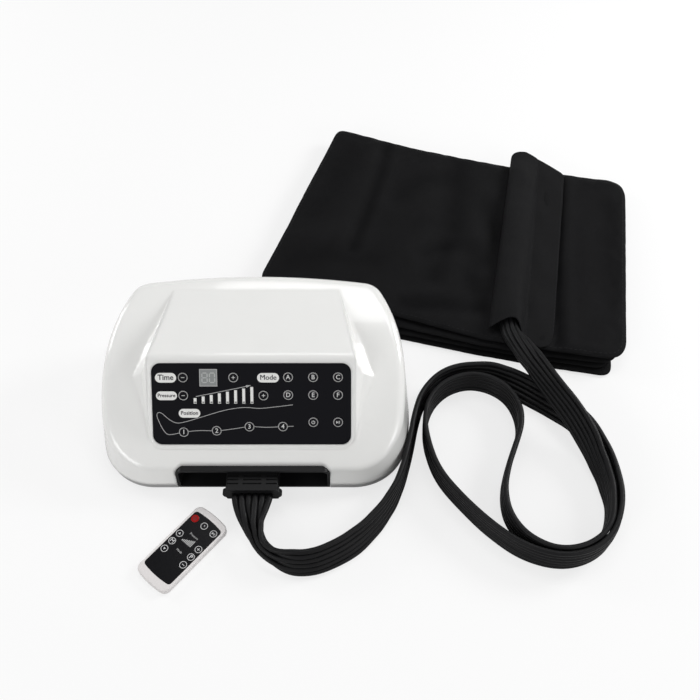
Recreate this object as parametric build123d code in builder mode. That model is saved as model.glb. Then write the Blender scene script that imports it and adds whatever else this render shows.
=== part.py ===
from build123d import *
import math
import os

os.makedirs("parts", exist_ok=True)

# Air compression leg massager: a console, a ribbon of air hoses with a plug, a folded leg cuff and a
# slim remote. X runs to the right, Y to the back and Z up, and the floor is Z = 0.

# Console, plan outline at the tray and at the height of the crown
console_x = -135
front_y = -196.5
front_half_width = 138
waist_bow = 14.5
waist_y = -112
rear_half_width = 128
rear_corner_y = -14
rear_y = -3
front_corner_radius = 54
rear_corner_radius = 34
crown_front_y = -172
crown_front_half_width = 126
crown_waist_half_width = 143
crown_waist_y = -104
crown_rear_half_width = 117
crown_rear_corner_y = -14
crown_rear_y = -5
crown_front_radius = 46
crown_rear_radius = 20

# Console, heights and walls
foot_height = 4
foot_radius = 8
foot_pocket = 1
foot_fit = 0.2
tray_height = 10
tray_floor = 3
tray_wall = 2.4
tray_inset = 1.2
tray_edge_radius = 2.5
cover_wall = 2.8
crown_z = 108
top_front_z = 28
top_lap = 4
top_middle_y = -115
top_middle_z = 77
top_rear_z = 102.5
top_edge_radius = 9

# Membrane panel on the sloping face
panel_width = 188.4
panel_length = 79
panel_angle = 44
panel_low_y = -172
panel_low_z = 48.3
panel_corner_radius = 9
recess_depth = 2.5
apron_clearance = 16
underside_lap = 3
overlay_thickness = 1.2
overlay_gap = 0.3

# Raised hump round the panel, fading into the cover towards the back
frame_margin = 4.4
hump_corner_radius = 14
hump_waist_y = -112
hump_rear_half_width = 82
hump_rear_y = -22
hump_crest = 108
hump_rear_z = 100
hump_crest_radius = 8
flank_foot_share = 0.34
flank_sink = 3
flank_lap = 6
# Flanks that flare out beside the hump: place, reach and how far they stay under its top edge
flank_stations = [(-170, 4, 1.5), (-146, 10, 1.2), (-114, 22, 1.2), (-84, 17, 1.2), (-54, 9, 1), (-28, 2, 0.6)]

# Keys of the panel, with their stems and switches
key_radius = 4.4
key_gap = 0.3
key_proud = 0.2
key_travel = 0.35
key_rest_gap = 0.15
key_clip_radius = 2.7
key_clip_height = 0.6
key_clip_gap = 0.3
key_stem_radius = 1.7
key_stem_gap = 0.4
switch_size = 6
switch_height = 3.5
switch_plunger_radius = 1.6
switch_plunger_height = 1
board_depth = 13
board_margin = 6.2
board_length = 66
board_thickness = 1.6
board_post_radius = 3.2
board_pin_radius = 1.4
board_pin_gap = 0.1
board_pin_tip = 1
# Places across the panel are shares of its half width, so they keep their spacing on a wider one
post_shares = [(-0.892, -4), (0.085, 30), (0.106, -12), (0.743, -4)]
key_shares = {
    "time_minus_key": (-0.684, 25.4),
    "time_plus_key": (-0.179, 25.4),
    "pressure_minus_key": (-0.684, 8.1),
    "pressure_plus_key": (0.120, 8.1),
    "mode_a_key": (0.368, 25.7),
    "mode_b_key": (0.618, 25.7),
    "mode_c_key": (0.867, 25.7),
    "mode_d_key": (0.368, 8.6),
    "mode_e_key": (0.618, 8.6),
    "mode_f_key": (0.867, 8.6),
    "position_1_key": (-0.688, -27.3),
    "position_2_key": (-0.356, -26.0),
    "position_3_key": (-0.025, -22.0),
    "position_4_key": (0.312, -21.9),
    "power_key": (0.618, -17.7),
    "play_key": (0.867, -17.7),
}

# Display window and pressure bars in the panel
window_width = 17.2
window_height = 17
window_share = -0.429
window_y = 25.2
lens_gap = 0.15
module_width = 15
module_height = 14
module_gap = 0.4
bar_count = 8
bar_pitch_share = 0.0814
bar_width = 2.7
bar_first_share = -0.566
bar_base_y = 0.35
bar_first_height = 5.3
bar_last_height = 16
receiver_share = 0.244
receiver_y = 27
receiver_width = 6.4
receiver_height = 7
receiver_hole_radius = 2
bar_gap = 0.1

# Air socket in the front wall, open to the front, and its nozzles
socket_half_width = 74
socket_top = 37
socket_corner_radius = 8
socket_wall = 2.5
socket_front_y = -194
socket_depth = 36.5
socket_gap = 0.3
ledge_depth = 1.5
ledge_height = 2
ledge_inner_x = 32
ledge_places = [14, 26]
guide_width = 3
guide_spread = 32
guide_gap = 0.3
nozzle_count = 6
nozzle_pitch = 7
nozzle_z = 20
nozzle_radius = 2.2
nozzle_bore = 1.2
nozzle_reach = 14
nozzle_tail = 8
nozzle_fit = 0.05
nozzle_flange_radius = 3
nozzle_flange = 1

# Plug on the hose
plug_width = 50
plug_height = 18
plug_front_y = -210
plug_seat_gap = 0.3
plug_bore_gap = 0.5
plug_bore_depth = 18
gasket_thickness = 1.2
ear_width = 56.5
ear_height = 14
ear_thickness = 4
plug_edge_radius = 2
grip_rows = 4
grip_pitch = 4.2
grip_slot = 1.7
grip_depth = 1.2
grip_first_y = -190.5
grip_columns = [(-18.5, 11), (0, 18), (18.5, 11)]

# Inside the console
pump_x = -72
pump_y = -62
pump_base_z = 12
pump_head_width = 48
pump_head_depth = 44
pump_head_height = 32
motor_radius = 16
motor_length = 42
pump_mount_radius = 5
pump_mount_height = 3
pump_mount_spread_x = 17
pump_mount_spread_y = 15
pump_barb_length = 8
manifold_width = 100
manifold_depth = 24
manifold_height = 18
manifold_base_z = 11
manifold_gap = 12
valve_width = 12
valve_depth = 18
valve_height = 22
valve_pitch = 15
tube_radius = 3.2
tube_wall = 0.9
tube_start_gap = 2
supply_tube_radius = 3.5
supply_bend = 12
support_radius = 3.5
power_board_x = 68
power_board_y = -68
power_board_width = 84
power_board_length = 64
power_board_z = 14
transformer_width = 38
transformer_depth = 32
transformer_height = 30
transformer_shift = (-16, 10)
capacitor_shifts = ((18, 18), (33, 18))
buzzer_shift = (26, -18)
capacitor_radius = 6
capacitor_height = 18
buzzer_radius = 6
buzzer_height = 8
inlet_x = 70
inlet_z = 32
inlet_width = 30
inlet_height = 20
inlet_depth = 24
inlet_face_y = -6
inlet_socket_width = 21
inlet_socket_height = 11
inlet_socket_depth = 15
inlet_gap = 0.3
pin_radius = 1.2
pin_spacing = 8.6
pin_length = 12
pin_tail = 6
vent_count = 9
vent_pitch = 6
vent_width = 2.6
vent_height = 20
vent_x = -55
vent_z = 58

# Fasteners that close the case from below
screw_places = [(-112, -150), (112, -150), (-128, -90), (128, -90), (-100, -28), (100, -28)]
screw_radius = 1.5
screw_head_radius = 3
screw_head_height = 1.6
screw_head_sink = 0.2
screw_length = 16
screw_fit = 0.15
boss_radius = 4.5
foot_places = [(-104, -168), (104, -168), (-100, -40), (100, -40)]

# Leg cuff, folded, lying behind and to the right of the console
cuff_lower_outline = [
    (16, -20), (-140, 30), (-139, 72), (-62, 290), (148, 222), (270, 196), (276, 176), (246, -50), (222, -64),
    (165, -58), (76, -38),
]
cuff_upper_outline = [
    (14, 4), (-146, 44), (-57, 299), (48, 262), (150, 232), (266, 206), (287, 184), (255, -30), (234, -50),
    (170, -42), (104, -26),
]
cuff_lower_thickness = 11
cuff_upper_thickness = 12
cuff_gap = 0.3
cuff_edge_radius = 4
cuff_corner_radius = 9
bladder_places = [-86, -30, 26, 82]
bladder_width = 48
bladder_length = 170
bladder_thickness = 3
bladder_clearance = 0.2
bladder_turn = -20
bladder_middle = (62, 118)

# Sleeve on the cuff, a tunnel for the hose with a flat flap beside it
sleeve_mouth = (123, -8)
sleeve_far_end = (168, 232)
tunnel_width = 34
tunnel_height = 21
tunnel_wall = 2
tunnel_depth = 25.3
flap_width = 40
flap_lap = 4
flap_start = -18
flap_thickness = 3.2
flap_corner_radius = 14

# Air hose: six joined tubes, modelled as one round tube of the same section
hose_radius = 6.75
lead_route = [
    (-135, -210, 20), (-135, -226, 20), (-131.5, -245.5, 14), (-118.5, -264.5, 7.5), (-98, -276.5, 6.75),
    (-84.5, -280, 6.75), (-73, -280, 6.75),
]
run_route = [
    (-72.9, -280, 6.75), (-54, -280, 6.75), (-33, -273.5, 6.75), (-13, -254.5, 6.75), (3, -228, 6.75),
    (15.5, -197, 6.75), (24.5, -163, 6.75), (30, -131, 6.75), (39, -101, 6.75), (58, -75.5, 6.75), (90, -62, 6.75),
    (126, -66, 6.75), (160, -87, 6.75), (191, -120, 6.75), (212, -159, 6.75), (221, -201, 6.75),
    (213, -241, 6.75), (188, -268, 6.75), (154, -278.5, 6.75), (120, -269, 6.75), (90, -245, 6.75),
    (65, -213, 6.75), (50, -178, 6.75), (45, -144, 6.75), (49, -113.8, 6.75), (61.2, -92.7, 6.75),
    (82.3, -80.5, 6.75), (106.7, -80.5, 6.75), (127.8, -92.7, 6.75), (140, -113.8, 6.75), (140.5, -139, 6.75),
    (130, -166, 6.75), (109.5, -201.8, 6.75), (109.5, -226.2, 6.75), (121.7, -247.3, 6.75), (142.8, -259.5, 6.75),
    (167.2, -259.5, 6.75), (188.3, -247.3, 6.75), (200.5, -226.2, 6.75), (201.5, -202, 6.75), (197, -175, 9),
    (187, -151, 18), (172, -127, 29), (157, -103, 34), (144, -76, 34), (132, -49, 34), (123.4, -26, 34),
    (123.92, -3.09, 34), (127.6, 16.57, 34),
]

# Remote
remote_x = -198.5
remote_y = -258.5
remote_turn = 49.7
remote_length = 82
remote_width = 39.5
remote_bulge = 2
remote_corner_radius = 7
remote_back_height = 3.4
remote_top_height = 3.6
remote_wall = 1.2
remote_floor = 0.9
remote_roof = 1.2
remote_edge_radius = 1.2
remote_overlay_length = 68
remote_overlay_width = 34.6
remote_overlay_x = 1
remote_overlay_bulge = 1.5
remote_overlay_thickness = 0.6
remote_overlay_gap = 0.2
remote_key_gap = 0.2
remote_key_proud = 0.3
remote_key_rest_gap = 0.1
remote_stem_gap = 0.3
remote_key_radius = 3.8
remote_key_travel = 0.3
remote_key_stem_radius = 1.2
remote_board_z = 4.3
remote_board_thickness = 0.7
remote_board_length = 72
remote_board_width = 33
remote_post_radius = 1.5
remote_posts = [(-31, -15), (-31, 15), (31, -14), (31, 14)]
emitter_length = 2.5
emitter_width = 4
emitter_drop = 1.4
remote_keys = {
    "remote_power_key": (28.6, 12.3),
    "remote_time_key": (28.6, 0),
    "remote_play_key": (28.6, -12.3),
    "remote_mode_up_key": (8.6, 12.4),
    "remote_mode_key": (-1.2, 12.4),
    "remote_mode_down_key": (-11.1, 12.4),
    "remote_plus_key": (8.6, -12.7),
    "remote_pressure_key": (-1.2, -12.7),
    "remote_minus_key": (-11.1, -12.7),
}
cell_radius = 10
cell_thickness = 2.5
drawer_width = 24
drawer_length = 27
drawer_height = 3
drawer_base_gap = 0.2
cell_gap = 0.2
cell_x = -26
drawer_floor = 0.4
drawer_gap = 0.2


tray_bottom = foot_height
tray_top = foot_height + tray_height
tray_floor_top = tray_bottom + tray_floor
waist_half_width = front_half_width + waist_bow
slope = math.radians(panel_angle)
panel_plane = Plane(
    origin=(
        console_x,
        panel_low_y + panel_length / 2 * math.cos(slope),
        panel_low_z + panel_length / 2 * math.sin(slope),
    ),
    x_dir=(1, 0, 0),
    z_dir=(0, -math.sin(slope), math.cos(slope)),
)
half_panel = panel_width / 2
board_width = panel_width - 2 * board_margin
panel_keys = {name: (share * half_panel, y) for name, (share, y) in key_shares.items()}
board_posts = [(share * half_panel, y) for share, y in post_shares]
window_x = window_share * half_panel
bar_first_x = bar_first_share * half_panel
bar_pitch = bar_pitch_share * half_panel
receiver_x = receiver_share * half_panel
overlay_top = -recess_depth + overlay_thickness
panel_underside = -recess_depth - cover_wall
switch_top = -board_depth + switch_height + switch_plunger_height
hump_front_half = half_panel + frame_margin
top_arc = [(front_y - top_lap, top_front_z), (top_middle_y, top_middle_z), (rear_y + top_lap, top_rear_z)]
hump_front_y = panel_low_y - frame_margin * math.cos(slope)
hump_front_z = panel_low_z - frame_margin * math.sin(slope)
socket_back_face = socket_front_y + socket_depth - socket_wall
socket_rear_y = socket_front_y + socket_depth
socket_floor_top = tray_bottom + socket_wall
plug_rear_y = socket_back_face - plug_seat_gap - gasket_thickness
plug_bottom = nozzle_z - plug_height / 2
nozzle_places = [(console_x + (i - (nozzle_count - 1) / 2) * nozzle_pitch, nozzle_z) for i in range(nozzle_count)]
manifold_front_y = socket_rear_y + manifold_gap
manifold_y = manifold_front_y + manifold_depth / 2
screw_spots = [(console_x + x, y) for x, y in screw_places]
foot_spots = [(console_x + x, y) for x, y in foot_places]
pump_spots = [
    (console_x + pump_x + i * pump_mount_spread_x, pump_y + j * pump_mount_spread_y) for i in (-1, 1) for j in (-1, 1)
]
manifold_spots = [(console_x + i * (manifold_width / 2 - support_radius), manifold_y) for i in (-1, 1)]
power_spots = [
    (
        console_x + power_board_x + i * (power_board_width / 2 - support_radius),
        power_board_y + j * (power_board_length / 2 - support_radius),
    )
    for i in (-1, 1)
    for j in (-1, 1)
]


def save(builder, name):
    builder.part.label = name
    export_step(builder.part, f"parts/{name}.step")


def console_plan(front, waist, rear, radii, inset):
    # Plan outline: straight front, bowed flanks and back, four rounded corners, all drawn in by inset
    front_half = front[0] - inset
    edge_y = front[1] + inset
    waist_half = waist[0] - inset
    rear_half = rear[0] - inset
    corner_y = rear[1] - inset
    front_right = (console_x + front_half, edge_y)
    front_left = (console_x - front_half, edge_y)
    rear_right = (console_x + rear_half, corner_y)
    rear_left = (console_x - rear_half, corner_y)
    with BuildSketch(mode=Mode.PRIVATE) as plan:
        with BuildLine():
            Line(front_left, front_right)
            ThreePointArc(front_right, (console_x + waist_half, waist[1]), rear_right)
            ThreePointArc(rear_right, (console_x, rear[2] - inset), rear_left)
            ThreePointArc(rear_left, (console_x - waist_half, waist[1]), front_left)
        make_face()
        fillet(plan.vertices().group_by(Axis.Y)[0], radii[0] - inset)
        fillet(plan.vertices().filter_by(lambda v: abs(v.Y - corner_y) < 0.01), radii[1] - inset)
    return plan.sketch


def skirt_plan(inset):
    return console_plan(
        (front_half_width, front_y),
        (waist_half_width, waist_y),
        (rear_half_width, rear_corner_y, rear_y),
        (front_corner_radius, rear_corner_radius),
        inset,
    )


def crown_plan(inset):
    return console_plan(
        (crown_front_half_width, crown_front_y),
        (crown_waist_half_width, crown_waist_y),
        (crown_rear_half_width, crown_rear_corner_y, crown_rear_y),
        (crown_front_radius, crown_rear_radius),
        inset,
    )


def arc_height(y, first, second, third):
    # Height at y of the arc through three points of the console's side view
    (y1, z1), (y2, z2), (y3, z3) = first, second, third
    turn = 2 * (y1 * (z2 - z3) + y2 * (z3 - z1) + y3 * (z1 - z2))
    squares = [y1 * y1 + z1 * z1, y2 * y2 + z2 * z2, y3 * y3 + z3 * z3]
    middle_y = (squares[0] * (z2 - z3) + squares[1] * (z3 - z1) + squares[2] * (z1 - z2)) / turn
    middle_z = (squares[0] * (y3 - y2) + squares[1] * (y1 - y3) + squares[2] * (y2 - y1)) / turn
    return middle_z + math.sqrt((y1 - middle_y) ** 2 + (z1 - middle_z) ** 2 - (y - middle_y) ** 2)


def cover_form(inset):
    # Walls that lean in from the tray to the crown, under a bowed top that falls to the front
    with BuildPart() as form:
        with BuildSketch(Plane.XY.offset(tray_top)):
            add(skirt_plan(inset))
        with BuildSketch(Plane.XY.offset(crown_z)):
            add(crown_plan(inset))
        loft(ruled=True)
        with BuildSketch(Plane.YZ.offset(console_x)):
            with BuildLine():
                drop = Vector(0, -inset)
                ThreePointArc(*[Vector(point) + drop for point in top_arc])
                Polyline(
                    Vector(top_arc[2]) + drop, (top_arc[2][0], tray_top), (top_arc[0][0], tray_top),
                    Vector(top_arc[0]) + drop,
                )
            make_face()
        extrude(amount=waist_half_width, both=True, mode=Mode.INTERSECT)
        fillet(form.faces().filter_by(GeomType.CYLINDER).sort_by(SortBy.AREA)[-1].edges(), top_edge_radius - inset)
    return form.part


def hump_form(inset):
    # Hump that carries the panel: its plan outline cut by its side outline, both drawn in by inset
    with BuildPart() as form:
        with BuildSketch(Plane.XY.offset(tray_top)) as plan:
            with BuildLine():
                Polyline(
                    (console_x, hump_front_y), (console_x + hump_front_half, hump_front_y),
                    (console_x + hump_front_half, hump_waist_y),
                )
                ThreePointArc(
                    (console_x + hump_front_half, hump_waist_y),
                    (
                        console_x + (hump_front_half + hump_rear_half_width) / 2 - 1.5,
                        (hump_waist_y + hump_rear_y) / 2,
                    ),
                    (console_x + hump_rear_half_width, hump_rear_y),
                )
                Line((console_x + hump_rear_half_width, hump_rear_y), (console_x, hump_rear_y))
                mirror(about=Plane.YZ.offset(console_x))
            make_face()
            fillet(plan.vertices().group_by(Axis.Y)[0], hump_corner_radius)
            if inset:
                offset(amount=-inset)
        extrude(amount=hump_crest)
        with BuildSketch(Plane.YZ.offset(console_x)) as side:
            with BuildLine():
                Polyline(
                    (hump_front_y, tray_top + 2),
                    (hump_front_y, hump_front_z),
                    (hump_front_y + (hump_crest - hump_front_z) / math.tan(slope), hump_crest),
                    (hump_rear_y, hump_rear_z),
                    (hump_rear_y, tray_top + 2),
                    close=True,
                )
            make_face()
            fillet(side.vertices().sort_by(Axis.Y)[-1], hump_crest_radius)
            if inset:
                offset(amount=-inset)
        extrude(amount=waist_half_width, both=True, mode=Mode.INTERSECT)
    return form.part


def hump_half(y):
    # Half width of the hump at y, from its front to its narrower rear
    share = max(0, (y - hump_waist_y) / (hump_rear_y - hump_waist_y))
    return hump_front_half + share * (hump_rear_half_width - hump_front_half)


def hump_edge(y):
    # Height of the hump's top edge at y: the panel's slope, then the roof behind the crest
    slope_z = panel_low_z + (y - panel_low_y) * math.tan(slope)
    crest_y = hump_front_y + (hump_crest - hump_front_z) / math.tan(slope)
    roof_z = hump_crest + (y - crest_y) / (hump_rear_y - crest_y) * (hump_rear_z - hump_crest)
    return min(slope_z, roof_z)


def flank_form(side):
    # Flare between the side of the hump and the cover's top, on one side
    with BuildPart() as flank:
        for y, reach, under in flank_stations:
            low = arc_height(y, *top_arc) - flank_sink
            high = hump_edge(y) - under
            half = hump_half(y)
            foot = flank_foot_share
            with BuildSketch(Plane.XZ.offset(-y)):
                with BuildLine():
                    Polyline(
                        (console_x + side * (half - flank_lap), low),
                        (console_x + side * (half + reach), low),
                        (console_x + side * (half + reach * foot), low + (high - low) * foot),
                        (console_x + side * half, high),
                        (console_x + side * (half - flank_lap), high),
                        close=True,
                    )
                make_face()
        loft(ruled=True)
    return flank.part


def socket_outline(gap):
    # Front view of the air socket, with its foot on the underside of the tray, drawn in by gap
    with BuildSketch(mode=Mode.PRIVATE) as outline:
        with Locations((console_x, (tray_bottom + socket_top - gap) / 2)):
            Rectangle(2 * (socket_half_width - gap), socket_top - gap - tray_bottom)
        fillet(outline.vertices().group_by(Axis.Y)[-1], socket_corner_radius - gap)
    return outline.sketch


# Top cover: moulded shell with the hump, panel recess, key holes, board posts, screw bosses and rear vents
cover_outside = cover_form(0)

with BuildPart() as cover_cavity:
    add(cover_form(cover_wall))
    add(hump_form(cover_wall))
    with BuildSketch(panel_plane.offset(panel_underside)):
        RectangleRounded(
            panel_width + 2 * underside_lap, panel_length + 2 * underside_lap, panel_corner_radius + underside_lap
        )
    extrude(amount=hump_crest - panel_low_z, mode=Mode.SUBTRACT)

with BuildPart() as bosses:
    with BuildSketch(Plane.XY.offset(tray_floor_top)):
        with Locations(*screw_spots):
            Circle(boss_radius)
    extrude(amount=hump_crest)
    add(cover_outside, mode=Mode.INTERSECT)
    with BuildSketch(Plane.XY.offset(tray_floor_top)):
        with Locations(*screw_spots):
            Circle(boss_radius)
    extrude(amount=tray_top - tray_floor_top)

with BuildPart() as top_cover:
    add(cover_outside)
    add(hump_form(0))
    add(flank_form(-1))
    add(flank_form(1))
    with BuildSketch(panel_plane):
        RectangleRounded(
            2 * hump_front_half, panel_length + 2 * frame_margin, panel_corner_radius + frame_margin
        )
    extrude(amount=apron_clearance, mode=Mode.SUBTRACT)
    add(cover_cavity.part, mode=Mode.SUBTRACT)
    with BuildSketch(panel_plane):
        RectangleRounded(panel_width, panel_length, panel_corner_radius)
    extrude(amount=-recess_depth, mode=Mode.SUBTRACT)
    with BuildSketch(panel_plane.offset(-board_depth)):
        with Locations(*board_posts):
            Circle(board_post_radius)
    extrude(amount=board_depth - recess_depth - cover_wall / 2)
    with BuildSketch(panel_plane.offset(-board_depth)):
        with Locations(*board_posts):
            Circle(board_pin_radius)
    extrude(amount=-board_thickness - board_pin_tip)
    with BuildSketch(panel_plane.offset(-recess_depth)):
        with Locations(*panel_keys.values()):
            Circle(key_stem_radius + key_stem_gap)
        with Locations((window_x, window_y)):
            Rectangle(module_width + 2 * module_gap, module_height + 2 * module_gap)
        with Locations((receiver_x, receiver_y)):
            Circle(receiver_hole_radius)
    extrude(amount=-board_depth / 2, mode=Mode.SUBTRACT)
    add(bosses.part)
    with BuildSketch(Plane.XY.offset(tray_floor_top)):
        with Locations(*screw_spots):
            Circle(screw_radius + screw_fit)
    extrude(amount=screw_length, mode=Mode.SUBTRACT)
    with BuildSketch(Plane.XZ.offset(-front_y + 2)):
        add(socket_outline(0))
    extrude(amount=-(socket_depth + 4), mode=Mode.SUBTRACT)
    with BuildSketch(Plane.XZ.offset(-rear_y - 1)):
        with Locations((console_x + inlet_x, inlet_z)):
            Rectangle(inlet_width + 2 * inlet_gap, inlet_height + 2 * inlet_gap)
        with Locations((console_x + vent_x, vent_z)):
            with GridLocations(vent_pitch, 1, vent_count, 1):
                SlotOverall(vent_height, vent_width, rotation=90)
    extrude(amount=inlet_depth, mode=Mode.SUBTRACT)
save(top_cover, "top_cover")

# Base tray: floor and wall, foot pockets, screw holes, supports and the notch for the socket
with BuildPart() as base_tray:
    with BuildSketch(Plane.XY.offset(tray_bottom)):
        add(skirt_plan(tray_inset))
    extrude(amount=tray_height)
    fillet(base_tray.faces().sort_by(Axis.Z)[0].edges(), tray_edge_radius)
    with BuildSketch(Plane.XY.offset(tray_floor_top)):
        add(skirt_plan(tray_inset + tray_wall))
    extrude(amount=tray_height, mode=Mode.SUBTRACT)
    with BuildSketch(Plane.XY.offset(tray_floor_top - tray_floor / 2)):
        with Locations(*manifold_spots):
            Circle(support_radius)
    extrude(amount=manifold_base_z - tray_floor_top + tray_floor / 2)
    with BuildSketch(Plane.XY.offset(tray_floor_top - tray_floor / 2)):
        with Locations(*power_spots):
            Circle(support_radius)
    extrude(amount=power_board_z - tray_floor_top + tray_floor / 2)
    with BuildSketch(Plane.XY.offset(tray_floor_top - tray_floor / 2)):
        with Locations(*pump_spots):
            Circle(pump_mount_radius)
    extrude(amount=pump_base_z - pump_mount_height - tray_floor_top + tray_floor / 2)
    with BuildSketch(Plane.XZ.offset(-front_y + 2)):
        add(socket_outline(0))
    extrude(amount=-(socket_rear_y - front_y + 2 + socket_gap), mode=Mode.SUBTRACT)
    with BuildSketch(Plane.XY.offset(tray_bottom)):
        with Locations(*foot_spots):
            Circle(foot_radius + foot_fit)
    extrude(amount=foot_pocket, mode=Mode.SUBTRACT)
    with BuildSketch(Plane.XY.offset(tray_bottom)):
        with Locations(*screw_spots):
            Circle(screw_head_radius + screw_fit)
    extrude(amount=screw_head_height + screw_head_sink, mode=Mode.SUBTRACT)
    with BuildSketch(Plane.XY.offset(tray_bottom)):
        with Locations(*screw_spots):
            Circle(screw_radius + screw_fit)
    extrude(amount=tray_floor, mode=Mode.SUBTRACT)
save(base_tray, "base_tray")

with BuildPart() as rubber_feet:
    with BuildSketch():
        with Locations(*foot_spots):
            Circle(foot_radius)
    extrude(amount=foot_height + foot_pocket)
save(rubber_feet, "rubber_feet")

with BuildPart() as case_screws:
    with BuildSketch(Plane.XY.offset(tray_bottom + screw_head_sink)):
        with Locations(*screw_spots):
            Circle(screw_head_radius)
    extrude(amount=screw_head_height)
    with BuildSketch(Plane.XY.offset(tray_bottom + screw_head_sink)):
        with Locations(*screw_spots):
            Circle(screw_radius)
    extrude(amount=screw_length)
save(case_screws, "case_screws")

# Panel overlay with its openings, and what shows through them
bar_heights = [
    bar_first_height + (bar_last_height - bar_first_height) * i / (bar_count - 1) for i in range(bar_count)
]
bar_spots = [(bar_first_x + i * bar_pitch, bar_base_y + bar_heights[i] / 2) for i in range(bar_count)]

with BuildPart() as panel_overlay:
    with BuildSketch(panel_plane.offset(-recess_depth)):
        RectangleRounded(
            panel_width - 2 * overlay_gap, panel_length - 2 * overlay_gap, panel_corner_radius - overlay_gap
        )
        with Locations(*panel_keys.values()):
            Circle(key_radius + key_gap, mode=Mode.SUBTRACT)
        with Locations((window_x, window_y)):
            Rectangle(window_width, window_height, mode=Mode.SUBTRACT)
        for spot, height in zip(bar_spots, bar_heights):
            with Locations(spot):
                Rectangle(bar_width + 2 * bar_gap, height + 2 * bar_gap, mode=Mode.SUBTRACT)
    extrude(amount=overlay_thickness)
save(panel_overlay, "panel_overlay")

with BuildPart() as display_lens:
    with BuildSketch(panel_plane.offset(-recess_depth)):
        with Locations((window_x, window_y)):
            Rectangle(window_width - 2 * lens_gap, window_height - 2 * lens_gap)
    extrude(amount=overlay_thickness)
save(display_lens, "display_lens")

with BuildPart() as pressure_bars:
    with BuildSketch(panel_plane.offset(-recess_depth)):
        for spot, height in zip(bar_spots, bar_heights):
            with Locations(spot):
                Rectangle(bar_width, height)
    extrude(amount=overlay_thickness)
save(pressure_bars, "pressure_bars")

with BuildPart() as display_module:
    with BuildSketch(panel_plane.offset(-board_depth)):
        with Locations((window_x, window_y)):
            Rectangle(module_width, module_height)
    extrude(amount=board_depth - recess_depth - lens_gap)
save(display_module, "display_module")

# Keys of the panel, their switches and the board
for name, (x, y) in panel_keys.items():
    with BuildPart() as panel_key:
        with BuildSketch(panel_plane.offset(-recess_depth + key_travel + key_rest_gap)):
            with Locations((x, y)):
                Circle(key_radius)
        extrude(amount=overlay_top + key_proud + recess_depth - key_travel - key_rest_gap)
        with BuildSketch(panel_plane.offset(switch_top + key_travel + key_rest_gap)):
            with Locations((x, y)):
                Circle(key_stem_radius)
        extrude(amount=-recess_depth - switch_top)
        with BuildSketch(panel_plane.offset(panel_underside - key_clip_gap)):
            with Locations((x, y)):
                Circle(key_clip_radius)
        extrude(amount=-key_clip_height)
    save(panel_key, name)

with BuildPart() as key_switches:
    with BuildSketch(panel_plane.offset(-board_depth)):
        with Locations(*panel_keys.values()):
            Rectangle(switch_size, switch_size)
    extrude(amount=switch_height)
    with BuildSketch(panel_plane.offset(-board_depth)):
        with Locations(*panel_keys.values()):
            Circle(switch_plunger_radius)
    extrude(amount=switch_height + switch_plunger_height)
save(key_switches, "key_switches")

with BuildPart() as panel_board:
    with BuildSketch(panel_plane.offset(-board_depth)):
        Rectangle(board_width, board_length)
        with Locations(*board_posts):
            Circle(board_pin_radius + board_pin_gap, mode=Mode.SUBTRACT)
    extrude(amount=-board_thickness)
    with BuildSketch(panel_plane.offset(-board_depth)):
        with Locations((receiver_x, receiver_y)):
            Rectangle(receiver_width, receiver_width)
    extrude(amount=receiver_height)
save(panel_board, "panel_board")

# Air socket: box open to the front, with ledges on its back, guides on its floor and the nozzle holes
with BuildPart() as air_socket:
    with BuildSketch(Plane.XZ.offset(-socket_front_y)):
        add(socket_outline(socket_gap))
    extrude(amount=-socket_depth)
    with BuildSketch(Plane.XZ.offset(-socket_front_y)) as mouth:
        with Locations((console_x, (socket_floor_top + socket_top - socket_gap - socket_wall) / 2)):
            Rectangle(
                2 * (socket_half_width - socket_gap - socket_wall),
                socket_top - socket_gap - socket_wall - socket_floor_top,
            )
        fillet(mouth.vertices().group_by(Axis.Y)[-1], socket_corner_radius - socket_gap - socket_wall)
    extrude(amount=-(socket_depth - socket_wall), mode=Mode.SUBTRACT)
    with BuildSketch(Plane.XZ.offset(-socket_back_face)):
        for side in (-1, 1):
            ledge_width = socket_half_width - socket_gap - socket_wall / 2 - ledge_inner_x
            for height in ledge_places:
                with Locations((console_x + side * (ledge_inner_x + ledge_width / 2), height)):
                    Rectangle(ledge_width, ledge_height)
    extrude(amount=ledge_depth)
    with BuildSketch(Plane.XY.offset(socket_floor_top - socket_wall / 2)):
        for side in (-1, 1):
            with Locations((console_x + side * guide_spread / 2, (socket_front_y + socket_back_face) / 2)):
                Rectangle(guide_width, socket_depth - 2 * socket_wall)
    extrude(amount=plug_bottom - guide_gap - socket_floor_top + socket_wall / 2)
    with BuildSketch(Plane.XZ.offset(-socket_back_face + 1)):
        with Locations(*nozzle_places):
            Circle(nozzle_radius + nozzle_fit)
    extrude(amount=-(socket_wall + 2), mode=Mode.SUBTRACT)
save(air_socket, "air_socket")

with BuildPart() as socket_nozzles:
    with BuildSketch(Plane.XZ.offset(-(socket_back_face - nozzle_reach))):
        with Locations(*nozzle_places):
            Circle(nozzle_radius)
    extrude(amount=-(nozzle_reach + socket_wall + nozzle_tail))
    with BuildSketch(Plane.XZ.offset(-socket_rear_y)):
        with Locations(*nozzle_places):
            Circle(nozzle_flange_radius)
    extrude(amount=-nozzle_flange)
    with BuildSketch(Plane.XZ.offset(-(socket_back_face - nozzle_reach))):
        with Locations(*nozzle_places):
            Circle(nozzle_bore)
    extrude(amount=-(nozzle_reach + socket_wall + nozzle_tail), mode=Mode.SUBTRACT)
save(socket_nozzles, "socket_nozzles")

# Manifold, valves, pump and the tubes between them
with BuildPart() as valve_manifold:
    with BuildSketch(Plane.XY.offset(manifold_base_z)):
        with Locations((console_x, manifold_y)):
            Rectangle(manifold_width, manifold_depth)
    extrude(amount=manifold_height)
    chamfer(valve_manifold.edges().filter_by(Axis.Z), 1.5)
save(valve_manifold, "valve_manifold")

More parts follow.
